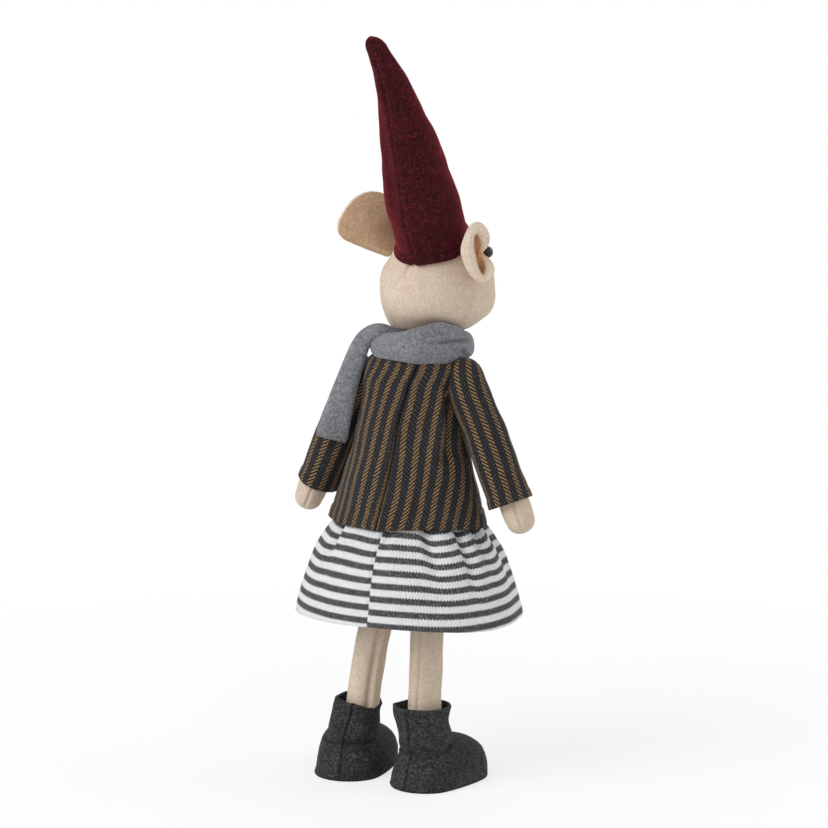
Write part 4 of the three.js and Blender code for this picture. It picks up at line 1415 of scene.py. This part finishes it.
@dataclass
class Skirt:
    """A gathered jersey tube whose one seam, at the back, meets its stripes out of step."""

    trunk: Trunk
    grid: tuple[int, int] = (420, 110)
    hem_z: float = 111.4
    waist_z: float = 203.0
    lift: float = 0.8
    cloth: float = 1.0
    half: Stations = (
        (112, 80.0), (125, 76.8), (140, 71.8), (155, 65.5), (167, 57.5), (176, 50.6), (190, 44.0),
        (203, 39.8),
    )
    seam_turn: Stations = ((112, 0.4), (150, 2.0), (176, 4.0), (203, 5.0))
    seam: Crease = Crease(1.0, -1.1)
    fold_z: float = 178.0
    folds: tuple[Fold, ...] = (
        Fold(-39, -32, 126, 5.0, 4.0), Fold(-72, -66, 130, 4.0, 4.5), Fold(9, 4, 142, 3.4, 3.0),
        Fold(38, 42, 138, 5.0, 5.0), Fold(66, 61, 122, 5.0, 3.4), Fold(86, 77, 142, 3.6, 4.0),
        Fold(108, 104, 128, 2.8, 5.0), Fold(140, 137, 130, 3.0, 5.0), Fold(172, 174, 126, 3.0, 5.0),
        Fold(-104, -101, 128, 2.8, 5.0), Fold(-138, -134, 132, 3.0, 5.0),
    )
    waves: tuple[Wave, ...] = (Wave(6, 1.0, 25), Wave(4, 1.1, -60))
    waves_fall: Fade = Fade(175, 118)
    lumps: Lumps = Lumps(17, 1.0)
    lumps_r: float = 40.0
    lumps_squash: float = 0.35
    hem_fold: float = 0.35
    hem_edge: Fade = Fade(8, 6)
    hem_dip: Wave = Wave(4, 0.8, 30)
    hem_dip_fall: Fade = Fade(0.2, 0)
    tilt: Wave = Wave(1, 0.5)
    tilt_fall: Fade = Fade(0.6, 0)
    sag: Stations = (
        (-110, 0), (-84, 1.0), (-70, 3.6), (-56, 2.2), (-41, 2.8), (-35, 0.6), (-26, 0), (29, 0), (34, 0.8),
        (43, 5.2), (52, 4.2), (62, 2.4), (65.5, 7.2), (78, 6.0), (88, 7.5), (110, 0),
    )
    sag_rise: Fade = Fade(118, 186)
    right_rise: float = 2.2
    right_start: Fade = Fade(35, 75)
    right_end: Fade = Fade(170, 120)
    left_part: Fade = Fade(0.5, 0.78)
    step: float = 3.0
    far_step: float = 8.0
    step_near: Fade = Fade(0.72, 1.0)
    stretch: float = 2.6
    stretch_rise: Fade = Fade(118, 170)
    stretch_off_seam: Fade = Fade(1.0, 0.93)

    def surface(self, turn: float, z: float, from_seam: float) -> Vector:
        """The skirt's outside at an angle, a height and an angle from the seam."""
        half = through(self.half, z)
        out = self.seam.at(arc(from_seam, half))
        out += sum(fold.at(turn, z, self.fold_z) for fold in self.folds)
        out += sum(wave.at(turn) for wave in self.waves) * self.waves_fall.at(z)
        out += self.lumps.at(on_tube(turn, self.lumps_r, z * self.lumps_squash))
        out += self.hem_fold * self.hem_edge.at(z - self.hem_z)
        return self.trunk.at(half, turn, z, out)

    def form(self, across: float, up: float) -> Vector:
        """The skirt from the right of its seam all the way round, and from hem to waist."""
        z = mix(self.hem_z, self.waist_z, up)
        off = across * 360
        turn = through(self.seam_turn, z) + off
        dip = self.hem_dip.at(turn) * self.hem_dip_fall.at(up) + self.tilt.at(turn) * self.tilt_fall.at(up)
        return self.surface(wrapped(turn), z, min(off, 360 - off)) + UP * (dip + self.lift)

    def drift(self, across: float, up: float) -> float:
        """How far the stripes sag at the gathers, and lie out of step left of the seam."""
        z = mix(self.hem_z, self.waist_z, up)
        turn = across * 360 + through(self.seam_turn, z)
        sag = through(self.sag, wrapped(turn)) * self.sag_rise.at(z)
        left = self.left_part.at(across)
        rise = self.right_rise * self.right_start.at(turn) * self.right_end.at(turn)
        rise += mix(self.far_step, self.step, self.step_near.at(across)) * left
        rise += self.stretch * self.stretch_rise.at(z) * left * self.stretch_off_seam.at(across)
        return sag - rise

    def build(self) -> None:
        """Makes the skirt."""
        mesh = lay(self.form, *self.grid, drift=self.drift)
        made = dress("skirt", mesh, SKIRT_JERSEY, "torso", self.cloth)
        declare_cloth(made)


@dataclass(frozen=True)
class NeckCrease:
    """A crease that runs part of the way round the scarf, by its height at an angle and its slope."""

    z: float
    at_turn: float
    slope: float
    shape: Crease
    start: Fade
    end: Fade

    def at(self, turn: float, height: float) -> float:
        """How far it moves the cloth out at an angle and a height."""
        line = self.z + (turn - self.at_turn) * self.slope
        return self.shape.at(height - line) * self.start.at(turn) * self.end.at(turn)


@dataclass(frozen=True)
class ScarfEnd:
    """A free end of the scarf: a thin rounded strip along a route, bent where it leaves the neck."""

    body: str
    route: tuple[Vector, ...]
    widths: Stations
    top_way: Vector
    end_way: Vector
    turning: Fade
    bend_at: int
    grid: tuple[int, int] = (72, 110)
    thick: float = 5.4
    rolled: float = 0.35
    rolled_fall: Fade = Fade(0.55, 0.25)
    edge_share: float = 0.025
    edge_narrowing: float = 0.1
    width_roundness: float = 0.62
    thick_roundness: float = 0.8
    curl: float = -0.9
    lumps: tuple[Lumps, ...] = (Lumps(13, 1.1), Lumps(5, 0.25))
    stitch: Crease = Crease(0.012, -0.45)
    stitch_at: float = 0.93
    ahead_step: float = 0.01

    def form(self, across: float, along: float) -> Vector:
        """The point at a share round the thin section and a share along."""
        point = along_route(self.route, along)
        before, after = max(along - self.ahead_step, 0), min(along + self.ahead_step, 1)
        ahead = (along_route(self.route, after) - along_route(self.route, before)).normalized()
        side = ahead.cross(self.top_way.lerp(self.end_way, self.turning.at(along))).normalized()
        face = side.cross(ahead)
        angle = across * math.tau
        past = max((along - 1 + self.edge_share) / self.edge_share, 0)
        half = through(self.widths, along) / 2 * (1 - self.edge_narrowing * past ** 2)
        rolled = 1 + self.rolled * self.rolled_fall.at(along)
        thick = self.thick / 2 * rolled * math.sqrt(max(1 - past ** 2, 0))
        wide = half * power(math.cos(angle), self.width_roundness)
        deep = thick * power(math.sin(angle), self.thick_roundness)
        curl = self.curl * (wide / half) ** 2
        spot = point + side * wide
        soft = sum(lumps.at(spot) for lumps in self.lumps)
        sewn = self.stitch.at(along - self.stitch_at) * (1 if deep > 0 else -1)
        return spot + face * (deep + curl + soft + sewn)

    def build(self) -> None:
        """Makes the end."""
        mesh = lay(self.form, *self.grid)
        close_up(mesh)
        made = dress(f"{self.body}_end", mesh, FLEECE, None)
        start, end = (BODY + point * MM for point in self.route[self.bend_at:self.bend_at + 2])
        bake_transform(made)
        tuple(start)
        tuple(end)
        declare_cloth(made, Doubled.ACROSS)


@dataclass
class Scarf:
    """One strip of fleece: a turn round the neck, with an end over each shoulder."""

    grid: tuple[int, int] = (220, 96)
    neck: Vector = Vector((-2.5, -13, 0))
    radius: float = 28.6
    half_thick: float = 6.8
    roundness: float = 0.86
    inner_fall: float = 0.62
    slack: Crease = Crease(30, -0.8)
    slack_turn: float = 118.0
    lumps: tuple[Lumps, ...] = (Lumps(15, 1.6), Lumps(6, 0.4))
    lumps_r: float = 30.0
    heights: Stations = (
        (-180, 8.0), (-120, 8.0), (-75, 8.2), (-55, 8.2), (-20, 9.0), (5, 10.2), (30, 13.0), (55, 14.2),
        (78, 12.0), (105, 9.6), (130, 8.6), (180, 8.0),
    )
    middles: Stations = (
        (-180, 291.0), (-120, 291.0), (-75, 291.2), (-55, 291.8), (-20, 293.6), (5, 294.4), (30, 295.6),
        (55, 296.2), (78, 295.2), (105, 292.8), (130, 291.6), (180, 291.0),
    )
    creases: tuple[NeckCrease, ...] = (
        NeckCrease(297.6, 60, 0.01, Crease(1.2, -3.6), Fade(36, 62), Fade(104, 80)),
        NeckCrease(293.4, 60, 0.0, Crease(2.6, 1.2), Fade(36, 62), Fade(104, 80)),
        NeckCrease(291.5, 76, -0.28, Crease(1.2, -2.8), Fade(66, 84), Fade(110, 94)),
        NeckCrease(288.0, -30, -0.03, Crease(2.2, -1.1), Fade(-60, -20), Fade(40, 5)),
    )
    back_end: ScarfEnd = ScarfEnd(
        "scarf_back",
        route=(
            Vector((3, -6, 296)), Vector((10, 4.6, 300.8)), Vector((16.5, 12.6, 303.6)),
            Vector((26.0, 11.6, 298.4)), Vector((31.0, 11.4, 291.2)), Vector((34.9, 11.8, 281.5)),
            Vector((39.5, 12.2, 269)), Vector((44.6, 12.8, 254)), Vector((53.4, 12.6, 226.5)),
        ),
        widths=(
            (0, 9.0), (0.25, 9.5), (0.375, 11.0), (0.5, 12.5), (0.625, 14.0), (0.75, 15.6), (0.875, 18.0),
            (1, 22.4),
        ),
        top_way=Vector((-0.35, 0.6, 0.8)), end_way=Vector((-0.5, 0.866, 0)), turning=Fade(0.1925, 0.55),
        bend_at=4,
    )
    front_end: ScarfEnd = ScarfEnd(
        "scarf_front",
        route=(
            Vector((-6, -35, 293)), Vector((0, -42, 295)), Vector((3.6, -48.2, 290)), Vector((5, -47.5, 281)),
            Vector((6, -42.5, 266)), Vector((7, -39.5, 249)), Vector((8, -39.5, 227)),
        ),
        widths=((0, 12.0), (0.4, 15.0), (1, 22.0)),
        top_way=Vector((-0.2, -0.4, 1)), end_way=-BACK, turning=Fade(0.14, 0.4), bend_at=2,
    )

    def wrap(self, across: float, up: float) -> Vector:
        """The turn round the neck: a soft ring, taller at the back right, with creases there."""
        turn = turned(across)
        angle = (up * 2 - 1) * math.pi
        inner = max(-math.cos(angle), 0)
        half = through(self.heights, turn) * power(math.sin(angle), self.roundness)
        z = half * (1 - self.inner_fall * inner)
        thick = self.half_thick * power(math.cos(angle), self.roundness)
        spot = on_tube(turn, self.lumps_r, z)
        out = sum(lumps.at(spot) for lumps in self.lumps) + self.slack.at(turn - self.slack_turn)
        height = through(self.middles, turn) + z
        if math.cos(angle) > 0:
            out += sum(crease.at(turn, height) for crease in self.creases)
        return self.neck + on_tube(turn, self.radius + thick + out, height)

    def build(self) -> None:
        """Makes the turn round the neck and both ends."""
        ring = lay(self.wrap, *self.grid, anchor=0.5)
        close_up(ring)
        made = dress("scarf_wrap", ring, FLEECE, "torso")
        declare_cloth(made, Doubled.ALONG)
        self.back_end.build()
        self.front_end.build()


# The legs and boots


@dataclass
class Leg:
    """A stuffed felt tube that bows a little, creased where its seam runs."""

    side: Side
    foot: Vector
    hip: Vector
    crease_turn: float
    crease_depth: float
    seam_turn: float
    bow: float
    radius: float
    grid: tuple[int, int] = (132, 110)
    filling_grid: tuple[int, int] = (40, 60)
    felt: float = 1.5
    ease_in: float = 0.5
    filled_from: float = 0.03
    filled_to: float = 0.97
    crease_width: float = 2.0
    ridge_off: float = 22.0
    ridge_width: float = 2.6
    ridge_share: float = 0.35
    seam: Crease = Crease(1.0, -1.2)
    lumps: tuple[Lumps, ...] = (Lumps(12, 0.9), Lumps(26, 0.8))
    lumps_r: float = 10.0
    lumps_squash: float = 0.6
    side_flat: float = 0.06
    bow_rise: Fade = Fade(20, 150)

    def form(self, across: float, up: float, inset: float = 0.0) -> Vector:
        """The tube from inside the boot up to the hip, taken in by an even amount."""
        turn = turned(across)
        axis = (self.hip - self.foot).normalized()
        sideways = BACK.cross(-axis).normalized()
        back = sideways.cross(axis)
        z = mix(self.foot.z, self.hip.z, up)
        from_crease = turn - self.crease_turn
        out = bump(arc(from_crease, self.radius), self.crease_width, -self.crease_depth)
        ridge = self.crease_depth * self.ridge_share
        out += bump(arc(from_crease - self.ridge_off, self.radius), self.ridge_width, ridge)
        out += self.seam.at(arc(turn - self.seam_turn, self.radius))
        spot = on_tube(turn, self.lumps_r, z * self.lumps_squash)
        out += sum(lumps.at(spot) for lumps in self.lumps)
        angle = math.radians(turn)
        flat = 1 - self.side_flat * (1 - math.cos(2 * angle))
        point = self.foot.lerp(self.hip, up)
        point.x += self.bow * math.sin(math.pi * self.bow_rise.at(z))
        around_leg = back * math.cos(angle) + sideways * math.sin(angle)
        return point + around_leg * (self.radius * flat + out - inset)

    def inside(self, across: float, up: float) -> Vector:
        """The filling's outside, a little short of the tube's ends."""
        return self.form(across, mix(self.filled_from, self.filled_to, up), self.felt + self.ease_in)

    def build(self) -> None:
        """Makes the leg and its filling."""
        word = self.side.word
        mesh = lay(self.form, *self.grid, anchor=0.5)
        dress(f"{word}_leg_skin", mesh, SKIN, "torso", self.felt)
        inside = lay(self.inside, *self.filling_grid)
        fill_ends(inside)
        close_up(inside)
        dress(f"{word}_leg_filling", inside, FILLING, "torso")


@dataclass
class Boot:
    """A felt boot: a flat sole, a rounded upper and a slouching shaft sewn on at the ankle."""

    side: Side
    heel: Vector
    toe_out: float
    cuff_dip: float
    cuff_dip_turn: float
    cuff_in: float
    shaft_lean: float
    sole_steps: int = 96
    upper_grid: tuple[int, int] = (216, 60)
    shaft_grid: tuple[int, int] = (168, 60)
    heel_r: float = 24.2
    toe_r: float = 27.0
    toe_start: Fade = Fade(60, 118)
    reach: float = 26.0
    felt: float = 2.0
    sole: float = 3.0
    sole_lap: float = 0.5
    sole_inset: float = 0.4
    sole_bevel: float = 0.8
    heel_roundness: float = 1.12
    toe_roundness: float = 2.8
    roundness_change: Fade = Fade(60, 140)
    heel_seam: Crease = Crease(0.8, -2.3)
    heel_seam_start: Fade = Fade(0, 0.1)
    upper_swell: Crease = Crease(5, 0.6)
    upper_lumps: tuple[Lumps, ...] = (Lumps(17, 1.3), Lumps(6, 0.35))
    upper_lumps_rise: Fade = Fade(0, 0.2)
    upper_lumps_fall: Fade = Fade(1, 0.85)
    bulge: Crease = Crease(0.25, 0.6)
    bulge_at: float = 0.45
    ankle_z: float = 24.0
    ankle_swell: float = 1.0
    ankle_swell_rise: Fade = Fade(0.8, 0.97)
    ankle_stitch: Crease = Crease(0.05, -1.6)
    instep_rise: float = 6.0
    instep_start: Fade = Fade(50, 180)
    shaft_r: float = 16.9
    shaft_height: float = 29.0
    shaft_tip: float = 6.0
    shaft_lap: float = 1.5
    shaft_swell: Crease = Crease(4.5, 0.5)
    shaft_stitch: Crease = Crease(0.05, -0.8)
    shaft_stitch_at: float = 0.06
    shaft_step: float = 0.6
    shaft_step_rise: Fade = Fade(0.1, 0.22)
    slouch: Lumps = Lumps(13, 1.8)
    slouch_rise: Fade = Fade(0, 0.3)
    shaft_lumps: Lumps = Lumps(6, 0.4)
    shaft_lumps_r: float = 17.0
    cuff_flare: float = 0.9
    cuff_flare_rise: Fade = Fade(0.55, 1)
    cuff_in_rise: Fade = Fade(0.2, 1)
    cuff_dip_narrowness: int = 6
    cuff_wave: Wave = Wave(5, 0.3)

    def outline(self, turn: float, inset: float = 0.0) -> Vector:
        """The egg outline of the foot at an angle from the heel."""
        share = self.toe_start.at(abs(turn))
        return around(turn) * (mix(self.heel_r, self.toe_r, share) - inset) - BACK * self.reach * share

    def placed(self, point: Vector) -> Vector:
        """A point of the boot's own frame on the figure."""
        turn = Matrix.Rotation(math.radians(self.side.value * self.toe_out), 3, "Z")
        return turn @ point + self.heel

    def leaned(self, way: Vector, height: float) -> Vector:
        """A point of the leaning shaft by its level offset and its height above the ankle."""
        lean = math.tan(math.radians(self.shaft_lean)) * self.side.value
        tip = math.tan(math.radians(self.shaft_tip))
        return way + Vector((-lean * height, -tip * height, self.ankle_z + height))

    def instep(self, turn: float) -> float:
        """How far the ankle seam has climbed towards the instep at an angle."""
        return self.instep_rise * self.instep_start.at(abs(turn))

    def upper(self, across: float, up: float) -> Vector:
        """The upper, bulging from the sole and drawn in to the ankle seam."""
        turn = turned(across)
        angle = up * math.pi / 2
        roundness = mix(self.heel_roundness, self.toe_roundness, self.roundness_change.at(abs(turn)))
        inward = 1 - power(math.cos(angle), 2 / roundness)
        rise = power(math.sin(angle), 2 / roundness)
        foot = self.outline(turn) + UP * (self.sole * self.sole_lap)
        ankle = self.leaned(around(turn) * self.shaft_r, self.instep(turn))
        point = foot.lerp(ankle, inward)
        point.z = mix(foot.z, ankle.z, rise)
        off = arc(turn, self.heel_r)
        out = (self.heel_seam.at(off) + self.upper_swell.at(off)) * self.heel_seam_start.at(up)
        lumps = sum(lumps.at(point) for lumps in self.upper_lumps)
        out += lumps * self.upper_lumps_rise.at(up) * self.upper_lumps_fall.at(up)
        out += self.bulge.at(up - self.bulge_at) + self.ankle_swell * self.ankle_swell_rise.at(up)
        out += self.ankle_stitch.at(up - 1)
        return self.placed(point + around(turn) * out)

    def shaft(self, across: float, up: float) -> Vector:
        """The shaft, a soft tube with an uneven open edge."""
        turn = turned(across)
        half_off = math.radians((turn - self.cuff_dip_turn) / 2)
        dip = self.cuff_dip * math.cos(half_off) ** self.cuff_dip_narrowness
        edge = self.shaft_height - dip + self.cuff_wave.at(turn)
        height = mix(self.instep(turn) - self.shaft_lap, edge, up)
        off = arc(turn, self.shaft_r)
        out = self.heel_seam.at(off) + self.shaft_swell.at(off)
        out += self.shaft_stitch.at(up - self.shaft_stitch_at) + self.shaft_step * self.shaft_step_rise.at(up)
        out += self.cuff_flare * self.cuff_flare_rise.at(up) - self.cuff_in * self.cuff_in_rise.at(up)
        spot = on_tube(turn, self.shaft_lumps_r, height)
        out += self.slouch.at(spot) * self.slouch_rise.at(up) + self.shaft_lumps.at(spot)
        return self.placed(self.leaned(around(turn) * (self.shaft_r + out), height))

    def sole_plate(self) -> bmesh.types.BMesh:
        """The flat sole with eased rims."""
        sole = bmesh.new()
        bmesh.ops.create_circle(sole, cap_ends=True, segments=self.sole_steps, radius=1)
        for vert in sole.verts:
            turn = math.degrees(math.atan2(-vert.co.x, vert.co.y))
            vert.co = self.placed(self.outline(turn, self.sole_inset))
        raised = bmesh.ops.extrude_face_region(sole, geom=sole.faces[:])["geom"]
        top = [part for part in raised if isinstance(part, bmesh.types.BMVert)]
        bmesh.ops.translate(sole, verts=top, vec=UP * self.sole)
        rims = [edge for edge in sole.edges if abs(edge.verts[0].co.z - edge.verts[1].co.z) < MERGE_MM]
        bmesh.ops.bevel(
            sole, geom=rims, offset=self.sole_bevel, offset_type="OFFSET", affect="EDGES", segments=3,
            profile=0.5, material=-1,
        )
        close_up(sole)
        return sole

    def build(self) -> None:
        """Makes the sole, the upper and the shaft."""
        word = self.side.word
        dress(f"{word}_boot_sole", self.sole_plate(), BOOT_FELT, "torso")
        upper = lay(self.upper, *self.upper_grid, anchor=0.5)
        dress(f"{word}_boot_upper", upper, BOOT_FELT, "torso", self.felt)
        shaft = lay(self.shaft, *self.shaft_grid, anchor=0.5)
        dress(f"{word}_boot_shaft", shaft, BOOT_FELT, "torso", self.felt)


# What the frame keeps inside, and the studio


def dress_inside() -> None:
    """Gives each frame node that no new piece stands for its finish."""
    kept = {"torso_skin": SKIN, "torso_filling": FILLING, "skirt_waistband": ELASTIC}
    pairs = {"leg_rod": STEEL, "boot_weight": STEEL, "arm_filling": FILLING, "shoulder_tab": SKIN}
    for side in Side:
        kept |= {f"{side.word}_{part}": finish for part, finish in pairs.items()}
    for name, finish in kept.items():
        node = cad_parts[name]
        node.data.materials.clear()
        node.data.materials.append(finish.material())
        LOG.info("%s: kept inside", name)


@dataclass(frozen=True)
class SoftBox:
    """A square lamp by its place round the figure, its distance and size in metres, and its power."""

    name: str
    azimuth: float
    elevation: float
    away: float
    size: float
    watts: float


@dataclass
class Studio:
    """A pale floor, soft light from both sides and a long lens behind the figure's right shoulder."""

    target: Vector = Vector((-13, 15.76, 250))
    distance: float = 2200.0
    azimuth: float = 210.0
    elevation: float = 9.5
    lens: float = 144.9
    sensor: float = 36.0
    far: float = 100.0
    paper: str = "#fbfbfb"
    floor_half: float = 20.0
    shade_from: float = 0.12
    shade_to: float = 0.6
    near_white: float = 0.7
    surround: float = 0.4
    lit_height: float = 0.25
    lamps: tuple[SoftBox, ...] = (
        SoftBox("key_soft_box", 152, 34, 1.7, 1.2, 19), SoftBox("rim_soft_box", 305, 24, 1.7, 1.3, 9),
        SoftBox("fill_soft_box", 215, 16, 2.0, 1.4, 3), SoftBox("front_soft_box", 20, 40, 1.9, 1.4, 7),
    )

    def aimed(
        self, name: str, data: bpy.types.ID, target: Vector, azimuth: float, elevation: float, away: float
    ) -> bpy.types.Object:
        """Puts a camera or lamp round the figure.

        Args:
            name: its name.
            data: the camera or the lamp.
            target: the place that it looks at, in metres.
            azimuth: its angle round the figure, from the front.
            elevation: its angle above level.
            away: its distance from the target in metres.

        Returns:
            The object.
        """
        made = put(name, data)
        level, steep = math.radians(azimuth), math.radians(elevation)
        flat = math.cos(steep)
        way = Vector((math.sin(level) * flat, -math.cos(level) * flat, math.sin(steep)))
        made.location = target + way * away
        made.rotation_mode = "QUATERNION"
        made.rotation_quaternion = (-way).to_track_quat("-Z", "Y")
        return made

    def camera(self) -> None:
        """Sets the camera at the photograph's place."""
        data = bpy.data.cameras.new("camera")
        data.sensor_width = self.sensor
        data.lens = self.lens
        data.clip_end = self.far
        target = BODY + self.target * MM
        made = self.aimed("camera", data, target, self.azimuth, self.elevation, self.distance * MM)
        bpy.context.scene.camera = made

    def light(self) -> None:
        """Sets the soft boxes round the figure."""
        for box in self.lamps:
            data = bpy.data.lights.new(box.name, "AREA")
            data.energy = box.watts
            data.size = box.size
            self.aimed(box.name, data, BODY + UP * self.lit_height, box.azimuth, box.elevation, box.away)

    def floor(self) -> None:
        """A matt paper floor that the camera sees as nearly white, with the figure's shadow on it."""
        mesh = bmesh.new()
        bmesh.ops.create_grid(mesh, x_segments=1, y_segments=1, size=self.floor_half)
        data = bpy.data.meshes.new("floor")
        mesh.to_mesh(data)
        mesh.free()
        put("floor", data)
        paper = bpy.data.materials.new("studio_paper")
        tree = bare_tree(paper)
        where = add_node(tree, "TexCoord", output="Object")
        away = add_node(tree, "VectorMath", (where,), "Value", operation="LENGTH")
        white = add_node(tree, "MapRange", {
            "Value": away, "From Min": self.shade_from, "From Max": self.shade_to,
            "To Min": self.near_white, "To Max": 1.0,
        })
        path = add_node(tree, "LightPath", output="Is Camera Ray")
        seen = add_node(tree, "Math", (path, path.node.outputs["Is Glossy Ray"]), operation="MAXIMUM")
        share = add_node(tree, "Math", (seen, white), operation="MULTIPLY")
        matt = add_node(tree, "BsdfDiffuse", {"Color": linear(self.paper)})
        glow = add_node(tree, "Emission", {"Color": linear(WHITE), "Strength": 1.0})
        both = add_node(tree, "MixShader", (share, matt, glow))
        add_node(tree, "OutputMaterial", {"Surface": both})
        data.materials.append(paper)

    def world(self) -> None:
        """An even soft surround, which the camera and reflections see as white."""
        made = bpy.data.worlds.new("surround")
        bpy.context.scene.world = made
        tree = bare_tree(made)
        path = add_node(tree, "LightPath", output="Is Camera Ray")
        glossy, through_glass = (path.node.outputs[f"Is {kind} Ray"] for kind in ("Glossy", "Transmission"))
        seen = add_node(tree, "Math", (path, glossy), operation="MAXIMUM")
        seen = add_node(tree, "Math", (seen, through_glass), operation="MAXIMUM")
        soft, white = (
            add_node(tree, "Background", {"Color": linear(WHITE), "Strength": strength})
            for strength in (self.surround, 1.0)
        )
        both = add_node(tree, "MixShader", (seen, soft, white))
        add_node(tree, "OutputWorld", {"Surface": both})

    def build(self) -> None:
        """Sets up the camera, floor and light."""
        bpy.context.scene.view_settings.view_transform = "Standard"
        self.camera()
        self.floor()
        self.world()
        self.light()


# The left ear fans out flat beside the hat. The right one is folded along its root, with a slit
# towards the eye.
LEFT_EAR = Ear(
    Side.LEFT, Vector((22.4, -21.8, 359.4)),
    (
        RimPoint(-6.4, -9.6, -3, 0.0), RimPoint(-14.3, -6.8, -4, 0.05), RimPoint(-23.2, -3.6, -5.5, 0.15),
        RimPoint(-31.4, -0.3, -6.5, 0.27), RimPoint(-36.4, 2.4, -7, 0.36), RimPoint(-38.2, 6.9, -7, 0.45),
        RimPoint(-37.0, 12.7, -6.5, 0.52), RimPoint(-32.9, 20.0, -6, 0.6), RimPoint(-27.8, 26.1, -7, 0.68),
        RimPoint(-21.5, 29.9, -8, 0.77), RimPoint(-15.3, 31.0, -9.5, 0.86), RimPoint(-9.7, 29.6, -11, 0.94),
        RimPoint(-5.7, 24.4, -12, 1.0),
    ),
    root_low=Vector((-1, -9, -3)), root_high=Vector((0, 8, -11)), flange_low=Vector((4, 0, -3)),
    flange_high=Vector((6, -2, -3)), lip=Fade(0.0, 1.2), belly=4.0,
    # The outer layer is the felt painted darker as painted shade; the inner one is painted paler as painted
    # light
    outer_finish=SHADED_EAR_FELT, inner_finish=LIT_EAR_FELT, inner_grow=1.04,
)
RIGHT_EAR = Ear(
    Side.RIGHT, Vector((-37.2, -21.5, 354.4)),
    (
        RimPoint(3.4, 1.1, 4, 0.5), RimPoint(8.2, 6.9, 8, 0.62), RimPoint(9.6, 12.5, 11, 0.78),
        RimPoint(7.3, 19.0, 14, 0.92), RimPoint(2.0, 22.7, 17, 1.0), RimPoint(-3.6, 19.3, 19, 1.0),
        RimPoint(-7.3, 12.0, 20, 0.85), RimPoint(-9.0, 4.0, 20, 0.6), RimPoint(-6.9, -4.7, 19.5, 0.35),
        RimPoint(-2.3, -12.7, 18, 0.12), RimPoint(3.6, -17.2, 15, 0.0), RimPoint(9.9, -16.4, 12, 0.02),
        RimPoint(13.4, -9.8, 10, 0.2), RimPoint(9.8, -3.0, 7, 0.38), RimPoint(3.4, 0.9, 4, 0.5),
    ),
    root_low=Vector((5.6, -11.5, 1)), root_high=Vector((1.0, 10.9, 4)), flange_low=Vector((-4, 0, -8)),
    flange_high=Vector((-8, -5, -12)), lip=Fade(0.22, 0.58), belly=0.0,
    # Both layers are the felt painted paler as painted light; the inner one also has painted warm bounce
    # light in its cup
    outer_finish=LIT_EAR_FELT, inner_finish=CUP_FELT,
)
ARMS = (
    Arm(Side.LEFT, cap_rise=13.0, arm_splay=24.6, sleeve_splay=22.9),
    Arm(Side.RIGHT, cap_rise=17.5, arm_splay=23.9, sleeve_splay=21.8),
)
LEGS = (
    Leg(
        Side.LEFT, Vector((32.2, 20, 10)), Vector((10.2, 0, 171.5)), crease_turn=47, crease_depth=2.4,
        seam_turn=-150, bow=2.0, radius=12.1,
    ),
    Leg(
        Side.RIGHT, Vector((-21.6, 20, 10)), Vector((-15.0, 0, 171.5)), crease_turn=-32, crease_depth=1.7,
        seam_turn=8, bow=-0.8, radius=12.0,
    ),
)
BOOTS = (
    Boot(
        Side.LEFT, Vector((35.0, 20, 0)), toe_out=16, cuff_dip=6.0, cuff_dip_turn=72, cuff_in=2.2,
        shaft_lean=13.2,
    ),
    Boot(
        Side.RIGHT, Vector((-24.5, 20, 0)), toe_out=5, cuff_dip=-1.5, cuff_dip_turn=25, cuff_in=-0.8,
        shaft_lean=10.4,
    ),
)


def main() -> None:
    """Dresses the figure piece by piece and notes the sizes."""
    logging.basicConfig(level=logging.INFO, format="%(message)s")
    trunk = Trunk()
    head = Head()
    clothes = (Hat(head), Scarf(), Jacket(trunk), Skirt(trunk))
    for part in (Studio(), head, LEFT_EAR, RIGHT_EAR, *clothes, *ARMS, *LEGS, *BOOTS):
        part.build()
    dress_inside()


if __name__ == "__main__":
    main()
